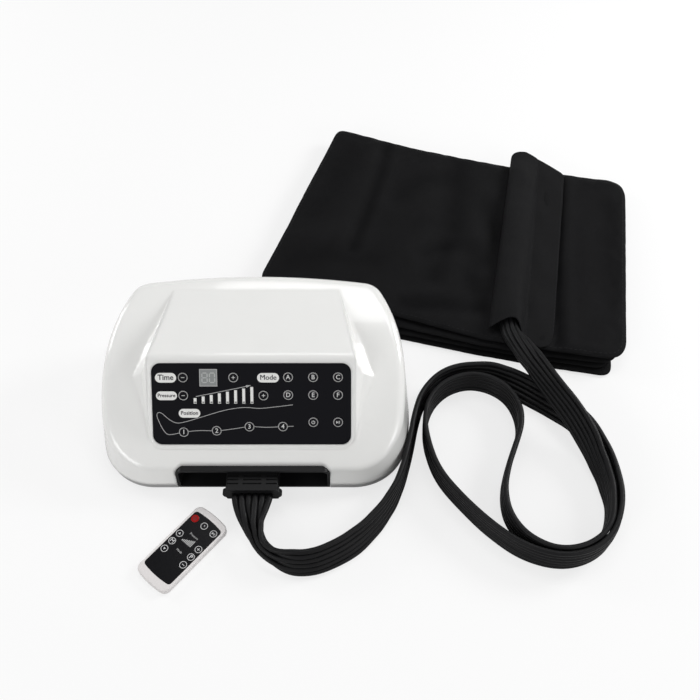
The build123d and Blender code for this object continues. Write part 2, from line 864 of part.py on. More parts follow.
with BuildPart() as solenoid_valves:
    with BuildSketch(Plane.XY.offset(manifold_base_z + manifold_height)):
        with Locations((console_x, manifold_y)):
            with GridLocations(valve_pitch, 1, nozzle_count, 1):
                RectangleRounded(valve_width, valve_depth, 2)
    extrude(amount=valve_height)
save(solenoid_valves, "solenoid_valves")

pump_centre_z = pump_base_z + pump_head_height / 2
pump_front_y = pump_y - pump_head_depth / 2
supply_x = console_x - manifold_width / 2 + supply_tube_radius + 4
supply_z = manifold_base_z + manifold_height / 2

with BuildPart() as air_pump:
    with BuildSketch(Plane.XY.offset(pump_base_z)):
        with Locations((console_x + pump_x, pump_y)):
            RectangleRounded(pump_head_width, pump_head_depth, 4)
    extrude(amount=pump_head_height)
    with BuildSketch(Plane.YZ.offset(console_x + pump_x + pump_head_width / 2)):
        with Locations((pump_y, pump_centre_z)):
            Circle(motor_radius)
    extrude(amount=motor_length)
    with BuildSketch(Plane.XZ.offset(-pump_front_y)):
        with Locations((console_x + pump_x, pump_centre_z)):
            Circle(supply_tube_radius - tube_wall - nozzle_fit)
    extrude(amount=pump_barb_length)
save(air_pump, "air_pump")

with BuildPart() as pump_mounts:
    with BuildSketch(Plane.XY.offset(pump_base_z - pump_mount_height)):
        with Locations(*pump_spots):
            Circle(pump_mount_radius)
    extrude(amount=pump_mount_height)
save(pump_mounts, "pump_mounts")

supply_middle_y = (pump_front_y + manifold_y + manifold_depth / 2) / 2
with BuildPart() as air_tubes:
    with BuildSketch(Plane.XZ.offset(-(socket_rear_y + tube_start_gap))):
        with Locations(*nozzle_places):
            Circle(tube_radius)
            Circle(tube_radius - tube_wall, mode=Mode.SUBTRACT)
    extrude(amount=-(manifold_gap - tube_start_gap))
    with BuildLine() as supply_path:
        FilletPolyline(
            (console_x + pump_x, pump_front_y, pump_centre_z),
            (console_x + pump_x, supply_middle_y, pump_centre_z),
            (supply_x, supply_middle_y, supply_z),
            (supply_x, manifold_y + manifold_depth / 2, supply_z),
            radius=supply_bend,
        )
    with BuildSketch(supply_path.line ^ 0):
        Circle(supply_tube_radius)
        Circle(supply_tube_radius - tube_wall, mode=Mode.SUBTRACT)
    sweep()
save(air_tubes, "air_tubes")

# Power board with the transformer, capacitors and buzzer, and the mains inlet at the back
power_board_top = power_board_z + board_thickness
board_x = console_x + power_board_x
transformer_place = (board_x + transformer_shift[0], power_board_y + transformer_shift[1])
capacitor_places = [(board_x + dx, power_board_y + dy) for dx, dy in capacitor_shifts]
buzzer_place = (board_x + buzzer_shift[0], power_board_y + buzzer_shift[1])
with BuildPart() as power_board:
    with BuildSketch(Plane.XY.offset(power_board_z)):
        with Locations((board_x, power_board_y)):
            Rectangle(power_board_width, power_board_length)
    extrude(amount=board_thickness)
save(power_board, "power_board")

with BuildPart() as power_parts:
    with BuildSketch(Plane.XY.offset(power_board_top)):
        with Locations(transformer_place):
            Rectangle(transformer_width, transformer_depth)
    extrude(amount=transformer_height)
    with BuildSketch(Plane.XY.offset(power_board_top)):
        with Locations(*capacitor_places):
            Circle(capacitor_radius)
    extrude(amount=capacitor_height)
    with BuildSketch(Plane.XY.offset(power_board_top)):
        with Locations(buzzer_place):
            Circle(buzzer_radius)
    extrude(amount=buzzer_height)
save(power_parts, "power_parts")

with BuildPart() as mains_inlet:
    with BuildSketch(Plane.XZ.offset(-inlet_face_y)):
        with Locations((console_x + inlet_x, inlet_z)):
            RectangleRounded(inlet_width, inlet_height, 2)
    extrude(amount=inlet_depth)
    with BuildSketch(Plane.XZ.offset(-inlet_face_y)):
        with Locations((console_x + inlet_x, inlet_z)):
            SlotOverall(inlet_socket_width, inlet_socket_height)
    extrude(amount=inlet_socket_depth, mode=Mode.SUBTRACT)
    with BuildSketch(Plane.XZ.offset(-inlet_face_y)):
        with Locations((console_x + inlet_x, inlet_z)):
            with GridLocations(pin_spacing, 1, 2, 1):
                Circle(pin_radius + nozzle_fit)
    extrude(amount=inlet_depth, mode=Mode.SUBTRACT)
save(mains_inlet, "mains_inlet")

with BuildPart() as inlet_pins:
    with BuildSketch(Plane.XZ.offset(-inlet_face_y + inlet_socket_depth - pin_length)):
        with Locations((console_x + inlet_x, inlet_z)):
            with GridLocations(pin_spacing, 1, 2, 1):
                Circle(pin_radius)
    extrude(amount=pin_length + inlet_depth - inlet_socket_depth + pin_tail)
save(inlet_pins, "inlet_pins")

# Plug on the hose, with ears at its front, grip slots on top and bores for the nozzles
with BuildPart() as plug_body:
    with BuildSketch(Plane.XZ.offset(-plug_front_y)):
        with Locations((console_x, nozzle_z)):
            Rectangle(plug_width, plug_height)
    extrude(amount=-(plug_rear_y - plug_front_y))
    fillet(plug_body.edges().filter_by(Axis.Y), plug_edge_radius)
    with BuildSketch(Plane.XZ.offset(-plug_front_y)):
        with Locations((console_x, nozzle_z)):
            RectangleRounded(ear_width, ear_height, ear_height / 2 - 0.5)
    extrude(amount=-ear_thickness)
    with BuildSketch(Plane.XY.offset(nozzle_z + plug_height / 2)):
        for x, width in grip_columns:
            for i in range(grip_rows):
                with Locations((console_x + x, grip_first_y - i * grip_pitch)):
                    SlotOverall(width, grip_slot)
    extrude(amount=-grip_depth, mode=Mode.SUBTRACT)
    with BuildSketch(Plane.XZ.offset(-plug_rear_y)):
        with Locations(*nozzle_places):
            Circle(nozzle_radius + plug_bore_gap)
    extrude(amount=plug_bore_depth, mode=Mode.SUBTRACT)
save(plug_body, "plug_body")

with BuildPart() as plug_gasket:
    with BuildSketch(Plane.XZ.offset(-plug_rear_y)):
        with Locations((console_x, nozzle_z)):
            RectangleRounded(plug_width - 2 * plug_edge_radius, plug_height - 2 * plug_edge_radius, 3)
        with Locations(*nozzle_places):
            Circle(nozzle_radius + plug_bore_gap, mode=Mode.SUBTRACT)
    extrude(amount=-gasket_thickness)
save(plug_gasket, "plug_gasket")


# Air hose, in a short lead on the plug and the long free run to the cuff
def bend_radii(route):
    # Radius at each corner that takes up less than half of the shorter of its two runs
    radii = []
    for before, corner, after in zip(route, route[1:], route[2:]):
        arriving = Vector(*corner) - Vector(*before)
        leaving = Vector(*after) - Vector(*corner)
        turn = math.radians(arriving.get_angle(leaving))
        radii.append(0.45 * min(arriving.length, leaving.length) / math.tan(turn / 2))
    return radii


for name, route in (("hose_lead", lead_route), ("hose_run", run_route)):
    with BuildPart() as hose:
        with BuildLine():
            hose_line = FilletPolyline(*route, radius=bend_radii(route))
        with BuildSketch(hose_line ^ 0):
            Circle(hose_radius)
        sweep()
    save(hose, name)
    section = math.pi * hose_radius**2
    print(
        name,
        "length", round(hose_line.length, 1),
        "tightest bend", round(min(bend_radii(route)), 1),
        "volume ratio", round(hose.part.volume / (section * hose_line.length), 4),
    )

# Leg cuff: two folded layers, with air bladders sealed in the upper one
cuff_upper_base = cuff_lower_thickness + cuff_gap
cuff_top = cuff_upper_base + cuff_upper_thickness

with BuildPart() as cuff_lower:
    with BuildSketch() as lower_outline:
        with BuildLine():
            Polyline(*cuff_lower_outline, close=True)
        make_face()
        fillet(lower_outline.vertices(), cuff_corner_radius)
    extrude(amount=cuff_lower_thickness)
    fillet(cuff_lower.faces().sort_by(Axis.Z)[-1].edges(), cuff_edge_radius)
save(cuff_lower, "cuff_lower")

bladder_axis = math.radians(bladder_turn)
bladder_spots = [
    (bladder_middle[0] + place * math.cos(bladder_axis), bladder_middle[1] + place * math.sin(bladder_axis))
    for place in bladder_places
]
bladder_base = cuff_upper_base + (cuff_upper_thickness - bladder_thickness) / 2

with BuildPart() as cuff_upper:
    with BuildSketch(Plane.XY.offset(cuff_upper_base)) as upper_outline:
        with BuildLine():
            Polyline(*cuff_upper_outline, close=True)
        make_face()
        fillet(upper_outline.vertices(), cuff_corner_radius)
    extrude(amount=cuff_upper_thickness)
    fillet(cuff_upper.faces().sort_by(Axis.Z)[-1].edges(), cuff_edge_radius)
    with BuildSketch(Plane.XY.offset(bladder_base - bladder_clearance)):
        with Locations(*bladder_spots):
            RectangleRounded(
                bladder_width + 2 * bladder_clearance, bladder_length + 2 * bladder_clearance, 10, rotation=bladder_turn
            )
    extrude(amount=bladder_thickness + 2 * bladder_clearance, mode=Mode.SUBTRACT)
save(cuff_upper, "cuff_upper")

with BuildPart() as air_bladders:
    with BuildSketch(Plane.XY.offset(bladder_base)):
        with Locations(*bladder_spots):
            RectangleRounded(bladder_width, bladder_length, 10, rotation=bladder_turn)
    extrude(amount=bladder_thickness)
save(air_bladders, "air_bladders")

# Sleeve that takes the hose, a tunnel with a flat flap on its right
sleeve_run = Vector(*sleeve_far_end) - Vector(*sleeve_mouth)
sleeve_base = cuff_top + cuff_gap
mouth_plane = Plane(
    origin=(sleeve_mouth[0], sleeve_mouth[1], sleeve_base),
    x_dir=(sleeve_run.Y, -sleeve_run.X, 0),
    z_dir=(-sleeve_run.X, -sleeve_run.Y, 0),
)
flap_plane = Plane(origin=mouth_plane.origin, x_dir=mouth_plane.x_dir, z_dir=(0, 0, 1))

with BuildPart() as hose_sleeve:
    with BuildSketch(mouth_plane) as tunnel:
        with Locations((0, tunnel_height / 2)):
            Rectangle(tunnel_width, tunnel_height)
        fillet(tunnel.vertices().group_by(Axis.Y)[-1], tunnel_height / 2 - 1)
    extrude(amount=-sleeve_run.length)
    with BuildSketch(flap_plane) as flap:
        flap_length = sleeve_run.length - flap_start - flap_lap
        with Locations((tunnel_width / 2 - flap_lap + (flap_width + flap_lap) / 2, flap_start + flap_length / 2)):
            Rectangle(flap_width + flap_lap, flap_length)
        fillet(flap.vertices().sort_by(Axis.X)[-2:], flap_corner_radius)
    extrude(amount=flap_thickness)
    with BuildSketch(mouth_plane) as bore:
        with Locations((0, tunnel_height / 2)):
            Rectangle(tunnel_width - 2 * tunnel_wall, tunnel_height - 2 * tunnel_wall)
        fillet(bore.vertices().group_by(Axis.Y)[-1], tunnel_height / 2 - tunnel_wall - 1)
    extrude(amount=-tunnel_depth, mode=Mode.SUBTRACT)
save(hose_sleeve, "hose_sleeve")

# Remote: two shells, overlay with keys, board, and a drawer with a coin cell
remote_axis = math.radians(remote_turn)
remote_plane = Plane(
    origin=(remote_x, remote_y, 0), x_dir=(math.cos(remote_axis), math.sin(remote_axis), 0), z_dir=(0, 0, 1)
)
remote_height = remote_back_height + remote_top_height
remote_recess_z = remote_height - remote_overlay_thickness
drawer_base = remote_floor + drawer_base_gap
drawer_mid_x = -remote_length / 2 - remote_bulge + drawer_length / 2
drawer_slot_top = drawer_base + drawer_height + drawer_gap


def bulged_outline(length, width, bulge, radius, inset):
    # Rectangle with bowed ends and rounded corners, drawn in by inset
    half = length / 2
    with BuildSketch(mode=Mode.PRIVATE) as outline:
        with BuildLine():
            Line((-half, -width / 2), (half, -width / 2))
            ThreePointArc((half, -width / 2), (half + bulge, 0), (half, width / 2))
            Line((half, width / 2), (-half, width / 2))
            ThreePointArc((-half, width / 2), (-half - bulge, 0), (-half, -width / 2))
        make_face()
        fillet(outline.vertices(), radius)
        if inset:
            offset(amount=-inset)
    return outline.sketch


def remote_outline(inset):
    return bulged_outline(remote_length, remote_width, remote_bulge, remote_corner_radius, inset)


def remote_overlay_outline(inset):
    return bulged_outline(
        remote_overlay_length, remote_overlay_width, remote_overlay_bulge, remote_corner_radius / 2, inset
    )


with BuildPart() as remote_back:
    with BuildSketch(remote_plane):
        add(remote_outline(0))
    extrude(amount=remote_back_height)
    fillet(remote_back.faces().sort_by(Axis.Z)[0].edges(), remote_edge_radius)
    with BuildSketch(remote_plane.offset(remote_floor)):
        add(remote_outline(remote_wall))
    extrude(amount=remote_back_height, mode=Mode.SUBTRACT)
    with BuildSketch(remote_plane.offset(remote_floor / 2)):
        with Locations(*remote_posts):
            Circle(remote_post_radius)
    extrude(amount=remote_board_z - remote_floor / 2)
    with BuildSketch(remote_plane.offset(remote_floor)):
        with Locations((drawer_mid_x, 0)):
            Rectangle(drawer_length, drawer_width + 2 * drawer_gap)
    extrude(amount=remote_back_height, mode=Mode.SUBTRACT)
save(remote_back, "remote_back")

with BuildPart() as remote_top:
    with BuildSketch(remote_plane.offset(remote_back_height)):
        add(remote_outline(0))
    extrude(amount=remote_top_height)
    fillet(remote_top.faces().sort_by(Axis.Z)[-1].edges(), remote_edge_radius)
    with BuildSketch(remote_plane.offset(remote_back_height)):
        add(remote_outline(remote_wall))
    extrude(amount=remote_top_height - remote_roof, mode=Mode.SUBTRACT)
    with BuildSketch(remote_plane.offset(remote_recess_z)):
        with Locations((remote_overlay_x, 0)):
            add(remote_overlay_outline(0))
    extrude(amount=remote_overlay_thickness, mode=Mode.SUBTRACT)
    with BuildSketch(remote_plane.offset(remote_height)):
        with Locations(*remote_keys.values()):
            Circle(remote_key_stem_radius + remote_stem_gap)
    extrude(amount=-2 * remote_roof, mode=Mode.SUBTRACT)
    with BuildSketch(remote_plane.offset(remote_back_height)):
        with Locations((drawer_mid_x, 0)):
            Rectangle(drawer_length, drawer_width + 2 * drawer_gap)
    extrude(amount=drawer_slot_top - remote_back_height, mode=Mode.SUBTRACT)
save(remote_top, "remote_top")

with BuildPart() as remote_overlay:
    with BuildSketch(remote_plane.offset(remote_recess_z)):
        with Locations((remote_overlay_x, 0)):
            add(remote_overlay_outline(remote_overlay_gap))
        with Locations(*remote_keys.values()):
            Circle(remote_key_radius + remote_key_gap, mode=Mode.SUBTRACT)
    extrude(amount=remote_overlay_thickness)
save(remote_overlay, "remote_overlay")

remote_key_base = remote_recess_z + remote_key_travel + remote_key_rest_gap
remote_stem_end = remote_board_z + remote_board_thickness + remote_key_travel + remote_key_rest_gap
for name, (x, y) in remote_keys.items():
    with BuildPart() as remote_key:
        with BuildSketch(remote_plane.offset(remote_key_base)):
            with Locations((x, y)):
                Circle(remote_key_radius)
        extrude(amount=remote_height + remote_key_proud - remote_key_base)
        with BuildSketch(remote_plane.offset(remote_stem_end)):
            with Locations((x, y)):
                Circle(remote_key_stem_radius)
        extrude(amount=remote_height - remote_stem_end)
    save(remote_key, name)

with BuildPart() as remote_board:
    with BuildSketch(remote_plane.offset(remote_board_z)):
        Rectangle(remote_board_length, remote_board_width)
    extrude(amount=remote_board_thickness)
    with BuildSketch(remote_plane.offset(remote_board_z - emitter_drop)):
        with Locations((remote_board_length / 2 + emitter_length / 2 - 0.5, 0)):
            Rectangle(emitter_length, emitter_width)
    extrude(amount=remote_board_thickness + emitter_drop)
save(remote_board, "remote_board")

with BuildPart() as battery_drawer:
    with BuildSketch(remote_plane.offset(drawer_base)):
        with Locations((drawer_mid_x, 0)):
            Rectangle(drawer_length - drawer_gap, drawer_width)
    extrude(amount=drawer_height)
    with BuildSketch(remote_plane):
        add(remote_outline(0))
    extrude(amount=remote_height, mode=Mode.INTERSECT)
    with BuildSketch(remote_plane.offset(drawer_base + drawer_floor)):
        with Locations((cell_x, 0)):
            Circle(cell_radius + cell_gap)
    extrude(amount=drawer_height, mode=Mode.SUBTRACT)
save(battery_drawer, "battery_drawer")

with BuildPart() as coin_cell:
    with BuildSketch(remote_plane.offset(drawer_base + drawer_floor)):
        with Locations((cell_x, 0)):
            Circle(cell_radius)
    extrude(amount=cell_thickness)
save(coin_cell, "coin_cell")
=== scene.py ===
import bpy
import math
from mathutils import Matrix, Vector, kdtree, noise


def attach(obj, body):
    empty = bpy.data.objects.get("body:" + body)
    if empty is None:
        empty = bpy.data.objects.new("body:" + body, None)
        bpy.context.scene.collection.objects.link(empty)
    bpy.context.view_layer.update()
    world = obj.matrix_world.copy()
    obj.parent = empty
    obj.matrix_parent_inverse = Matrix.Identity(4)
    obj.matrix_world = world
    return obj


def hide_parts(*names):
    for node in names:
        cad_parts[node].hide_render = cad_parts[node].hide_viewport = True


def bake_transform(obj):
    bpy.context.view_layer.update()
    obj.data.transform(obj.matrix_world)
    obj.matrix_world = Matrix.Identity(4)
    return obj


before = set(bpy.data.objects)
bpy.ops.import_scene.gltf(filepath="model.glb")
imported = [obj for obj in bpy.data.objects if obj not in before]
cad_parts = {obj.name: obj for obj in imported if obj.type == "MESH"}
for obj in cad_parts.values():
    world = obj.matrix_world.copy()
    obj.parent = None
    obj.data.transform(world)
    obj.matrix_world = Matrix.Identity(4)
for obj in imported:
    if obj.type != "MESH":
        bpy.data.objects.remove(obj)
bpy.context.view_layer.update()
print("frame:", len(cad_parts), "nodes")


# small helpers
def lerp(low, high, share):
    return low + (high - low) * share


def ease(share):
    share = min(1, max(0, share))
    return share * share * (3 - 2 * share)


def metres(points):
    return [Vector(point) / 1000 for point in points]


def addPiece(name, points, faces, finish, body, smooth=True):
    mesh = bpy.data.meshes.new(name)
    mesh.from_pydata([tuple(point) for point in points], [], faces)
    mesh.validate()
    if smooth:
        mesh.shade_smooth()
    piece = bpy.data.objects.new(name, mesh)
    bpy.context.collection.objects.link(piece)
    mesh.materials.append(finish)
    if body:
        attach(piece, body)
    return piece


# camera, lamps, floor and sky, in metres
studio = {
    "lens": math.radians(41.25),
    "place": (-0.042, -0.605, 0.824),
    "tilt": math.radians(35),
    "floorHalf": 6,
    "floorWhite": (0.86, 0.86, 0.86),
    "floorCloud": (0.84, 0.84, 0.84),
    "floorGlow": 0.72,  # how far the floor is brought to plain white for the camera
    "skyStrength": 0.40,  # as light; the camera and reflections see it at full strength
}

lamps = {
    "overhead": {"place": (0.1, 0.5, 1.7), "aim": (0, -0.05, 0), "size": (1.1, 0.5), "power": 7},
    "windowLeft": {"place": (-1.3, 0.5, 0.62), "aim": (0, 0, 0), "size": (0.5, 0.5), "power": 6},
    "windowRight": {"place": (1.2, 0.45, 0.8), "aim": (0, -0.05, 0), "size": (0.5, 0.5), "power": 13},
    "frontLeft": {"place": (-1.0, -1.2, 0.75), "aim": (-0.1, -0.1, 0), "size": (0.7, 0.7), "power": 7},
    "frontRight": {"place": (1.1, -1.1, 0.75), "aim": (0, -0.1, 0), "size": (0.7, 0.7), "power": 5},
}


def addCamera():
    camera = bpy.data.objects.new("camera", bpy.data.cameras.new("camera"))
    camera.data.angle = studio["lens"]
    camera.location = studio["place"]
    camera.rotation_euler = (studio["tilt"], 0, 0)
    bpy.context.collection.objects.link(camera)
    bpy.context.scene.camera = camera


def addLamp(name, facts):
    light = bpy.data.lights.new(name, "AREA")
    light.shape = "RECTANGLE"
    light.size, light.size_y = facts["size"]
    light.energy = facts["power"]
    lamp = bpy.data.objects.new(name, light)
    lamp.location = facts["place"]
    lamp.rotation_euler = (Vector(facts["aim"]) - lamp.location).to_track_quat("-Z", "Y").to_euler()
    bpy.context.collection.objects.link(lamp)


addCamera()
for lampName, lampFacts in lamps.items():
    addLamp(lampName, lampFacts)
bpy.context.scene.view_settings.view_transform = "Standard"
print("camera and lamps:", len(lamps))


# a socket that does sums: each operator adds a Math node to the socket's own tree
class Tone:
    def __init__(self, tree, socket):
        self.tree = tree
        self.socket = socket

    def sum(self, operation, first, second):
        return self.tree.node("Math", {"operation": operation}, {0: first, 1: second})

    def __add__(self, other):
        return self.sum("ADD", self, other)

    def __radd__(self, other):
        return self.sum("ADD", other, self)

    def __sub__(self, other):
        return self.sum("SUBTRACT", self, other)

    def __rsub__(self, other):
        return self.sum("SUBTRACT", other, self)

    def __mul__(self, other):
        return self.sum("MULTIPLY", self, other)

    def __rmul__(self, other):
        return self.sum("MULTIPLY", other, self)


# adds nodes to a material's or the world's tree
class Tree:
    def __init__(self, nodeTree):
        self.nodeTree = nodeTree

    def feed(self, socket, value):
        if isinstance(value, Tone):
            self.nodeTree.links.new(value.socket, socket)
        else:
            socket.default_value = value

    # every node comes from here: its settings first, then the values or links of its sockets
    def node(self, kind, settings=None, inputs=None, output=0):
        made = self.nodeTree.nodes.new("ShaderNode" + kind)
        for key, value in (settings or {}).items():
            setattr(made, key, value)
        for key, value in (inputs or {}).items():
            self.feed(made.inputs[key], value)
        return Tone(self, made.outputs[output])


# a material round one Principled shader
class Finish(Tree):
    def __init__(self, name, **fixed):
        self.material = bpy.data.materials.new(name)
        self.material.use_nodes = True
        super().__init__(self.material.node_tree)
        self.shader = self.nodeTree.nodes["Principled BSDF"]
        self.shade(**fixed)

    # keys are socket names with underscores for spaces
    def shade(self, **inputs):
        for key, value in inputs.items():
            self.feed(self.shader.inputs[key.replace("_", " ")], value)

    def grain(self, size, detail=2):
        place = self.node("TexCoord", output="Object")
        return self.node("TexNoise", None, {"Vector": place, "Scale": 1 / size, "Detail": detail})

    # a Mix node has its colours at sockets 6 and 7 and their mix at output 2
    def blend(self, mask, first, second):
        return self.node("Mix", {"data_type": "RGBA"}, {0: mask, 6: (*first, 1), 7: (*second, 1)}, 2)

    def bump(self, height, distance, soft=0.0):
        inputs = {"Height": height, "Distance": distance}
        if soft:
            inputs["Normal"] = self.node("Bevel", {"samples": 6}, {"Radius": soft})
        self.shade(Normal=self.node("Bump", None, inputs))


def darker(colour, share):
    return tuple(part * share for part in colour)


# moulded plastic: fine grain in the bump, cloudy roughness and a faint change of colour
mouldedLook = {"cloud": 0.03, "cloudShade": 0.96, "cloudRough": 0.05, "grain": 0.0006, "grainDepth": 0.00001}

moulding = {
    "coverWhite": dict(
        colour=(0.80, 0.80, 0.785), rough=0.13, soft=0.005, Coat_Weight=0.35, Coat_Roughness=0.04,
    ),
    "trayGrey": dict(colour=(0.30, 0.30, 0.30), rough=0.34),
    "rubberBlack": dict(colour=(0.02, 0.02, 0.02), rough=0.75),
    "socketBlack": dict(colour=(0.010, 0.010, 0.0105), rough=0.36, Specular_IOR_Level=0.08),
    "plugBlack": dict(colour=(0.009, 0.009, 0.0095), rough=0.42, Specular_IOR_Level=0.1),
    "overlayBlack": dict(colour=(0.005, 0.005, 0.007), rough=0.09, Specular_IOR_Level=0.08),
    "keyBlack": dict(colour=(0.006, 0.006, 0.008), rough=0.14, Specular_IOR_Level=0.08),
    "lensGrey": dict(colour=(0.25, 0.26, 0.26), rough=0.12),
    "remoteWhite": dict(colour=(0.70, 0.675, 0.67), rough=0.28),
    "remoteBlack": dict(colour=(0.004, 0.004, 0.005), rough=0.22, Specular_IOR_Level=0.07),
    "boardGreen": dict(colour=(0.03, 0.11, 0.05), rough=0.45),
    "partsDark": dict(colour=(0.03, 0.03, 0.035), rough=0.5),
    "nozzleWhite": dict(colour=(0.62, 0.62, 0.6), rough=0.4),
    "tubeClear": dict(colour=(0.5, 0.5, 0.48), rough=0.3),
    "bladderGrey": dict(colour=(0.25, 0.25, 0.26), rough=0.5),
    "gasketRed": dict(colour=(0.25, 0.05, 0.04), rough=0.7),
}


def moulded(name, colour, rough, soft=0.0, **fixed):
    finish = Finish(name, **fixed)
    clouds = finish.grain(mouldedLook["cloud"], 3)
    finish.shade(Base_Color=finish.blend(clouds, colour, darker(colour, mouldedLook["cloudShade"])))
    finish.shade(Roughness=rough + (clouds - 0.5) * mouldedLook["cloudRough"])
    finish.bump(finish.grain(mouldedLook["grain"]), mouldedLook["grainDepth"], soft)
    return finish.material


# metal with faint scratches
metals = {
    "steel": dict(colour=(0.55, 0.55, 0.56), rough=0.28),
    "brass": dict(colour=(0.72, 0.55, 0.24), rough=0.25),
}


def metal(name, colour, rough, scratch=0.002, scratchRough=0.15, scratchDepth=0.00001):
    finish = Finish(name, Metallic=1.0)
    scratches = finish.grain(scratch, 4)
    finish.shade(Base_Color=(*colour, 1), Roughness=rough + scratches * scratchRough)
    finish.bump(scratches, scratchDepth)
    return finish.material


# printed ink, a little worn; glow is painted light that makes the colour shine of itself
prints = {
    "printWhite": dict(colour=(0.86, 0.86, 0.84)),
    "printPale": dict(colour=(0.46, 0.46, 0.46)),
    "printKey": dict(colour=(0.66, 0.66, 0.66)),
    "printGrey": dict(colour=(0.22, 0.22, 0.22)),
    "printDark": dict(colour=(0.006, 0.006, 0.010)),
    # the red power key of the remote glows as painted light
    "redPaintedGlow": dict(colour=(0.30, 0.004, 0.004), glow=0.10, Specular_IOR_Level=0.1),
    "redMark": dict(colour=(0.02, 0.004, 0.004)),
    "digitDim": dict(colour=(0.44, 0.46, 0.45)),
}


def printed(name, colour, glow=0.0, spot=0.0008, wornShade=0.8, rough=0.35, wornRough=0.2, **fixed):
    finish = Finish(name, **fixed)
    wear = finish.grain(spot, 3)
    finish.shade(Base_Color=finish.blend(wear, colour, darker(colour, wornShade)))
    finish.shade(Roughness=rough + wear * wornRough)
    # painted glow
    if glow:
        finish.shade(Emission_Color=(*colour, 1), Emission_Strength=glow)
    return finish.material


finishes = {name: moulded(name, **facts) for name, facts in moulding.items()}
finishes.update({name: metal(name, **facts) for name, facts in metals.items()})
finishes.update({name: printed(name, **facts) for name, facts in prints.items()})
print("finishes:", len(finishes))

nodeFinish = {
    "top_cover": "coverWhite", "base_tray": "trayGrey", "rubber_feet": "rubberBlack", "case_screws": "steel",
    "panel_overlay": "overlayBlack", "display_lens": "lensGrey", "pressure_bars": "printWhite",
    "display_module": "partsDark", "key_switches": "partsDark", "panel_board": "boardGreen",
    "air_socket": "socketBlack", "socket_nozzles": "nozzleWhite", "valve_manifold": "nozzleWhite",
    "solenoid_valves": "partsDark", "air_pump": "partsDark", "pump_mounts": "rubberBlack",
    "air_tubes": "tubeClear", "power_board": "boardGreen", "power_parts": "partsDark",
    "mains_inlet": "socketBlack", "inlet_pins": "brass", "plug_body": "plugBlack", "plug_gasket": "gasketRed",
    "air_bladders": "bladderGrey", "remote_back": "remoteWhite", "remote_top": "remoteWhite",
    "remote_overlay": "remoteBlack", "remote_board": "boardGreen", "battery_drawer": "remoteWhite",
    "coin_cell": "steel", "remote_power_key": "redPaintedGlow",
}
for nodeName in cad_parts:
    if nodeName.endswith("_key"):
        nodeFinish.setdefault(nodeName, "keyBlack")
for nodeName, finishName in nodeFinish.items():
    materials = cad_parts[nodeName].data.materials
    materials.clear()
    materials.append(finishes[finishName])
print("dressed CAD nodes:", len(nodeFinish))


def addFloor():
    half = studio["floorHalf"]
    mesh = bpy.data.meshes.new("floor")
    corners = [(-half, -half, 0), (half, -half, 0), (half, half, 0), (-half, half, 0)]
    mesh.from_pydata(corners, [], [(0, 1, 2, 3)])
    floor = bpy.data.objects.new("floor", mesh)
    bpy.context.collection.objects.link(floor)
    paint = Finish("floorPaint", Roughness=0.9, Specular_IOR_Level=0)
    paint.shade(Base_Color=paint.blend(paint.grain(0.4), studio["floorWhite"], studio["floorCloud"]))
    seen = paint.node("LightPath", output="Is Camera Ray")
    plain = Tone(paint, paint.shader.outputs[0])
    white = paint.node("Emission", None, {"Color": (1, 1, 1, 1), "Strength": 1.0})
    both = paint.node("MixShader", None, {0: seen * studio["floorGlow"], 1: plain, 2: white})
    paint.feed(paint.nodeTree.nodes["Material Output"].inputs[0], both)
    mesh.materials.append(paint.material)


def addSky():
    world = bpy.data.worlds.new("sky")
    world.use_nodes = True
    bpy.context.scene.world = world
    sky = Tree(world.node_tree)
    sky.nodeTree.nodes.remove(sky.nodeTree.nodes["Background"])
    rays = [sky.node("LightPath", output="Is %s Ray" % kind) for kind in ("Camera", "Transmission", "Glossy")]
    plain = sky.node("Background", None, {"Strength": studio["skyStrength"]})
    white = sky.node("Background", None, {"Strength": 1.0})
    both = sky.node("MixShader", None, {0: rays[0] + rays[1] + rays[2], 1: plain, 2: white})
    sky.feed(sky.nodeTree.nodes["World Output"].inputs[0], both)


addFloor()
addSky()
print("floor and sky made")

# the hose: six joined tubes that follow one soft line; lengths in metres, angles in radians
hose = {
    "width": 0.030,
    "tubeRadius": 0.00265,
    "pitch": 0.00494,
    "fan": (-0.0164, -0.0099, -0.0033, 0.0033, 0.0099, 0.0165),  # across, at the plug
    "fanLength": 0.055,
    "fanSpread": (0.003, 2.4, 0.5),  # in height: how far, step from tube to tube, start
    "plugSwell": 0.24,
    "bunch": 0.0024,  # how far the tubes step apart in height where they gather
    "bunchNarrow": 0.45,
    "bunchIn": 0.045,  # the tubes gather up to here
    "bunchFrom": 0.055,  # and lie level again from here
    "bunchOut": 0.035,  # over this length
    "curl": 0.0078,  # radius that the ribbon rolls to before the sleeve
    "curlFrom": 0.14,  # before the end
    "curlLength": 0.10,
    "cup": 0.004,  # how far the ribbon bends across its width, to and fro
    "cupLevel": 0.25,
    "cupWidth": 0.025,
    "cupWave": (17, 0.6),  # per metre, start
    "waves": ((31, 0, 0.0006), (73, 1, 0.0003)),  # per metre, start, height
    "waveShare": 0.4,
    "waveStep": 1.9,  # from tube to tube
    "sides": 10,
    "steps": 8,
    "blend": ((-0.110, -0.281, 0.015), (0.0, -0.281, 0.015)),  # two points along the hose, in metres
    "dark": (0.0035, 0.0035, 0.004),
    "dusty": (0.009, 0.009, 0.0095),
    "dust": 0.012,
    "grain": 0.0009,
    "grainDepth": 0.00003,
}

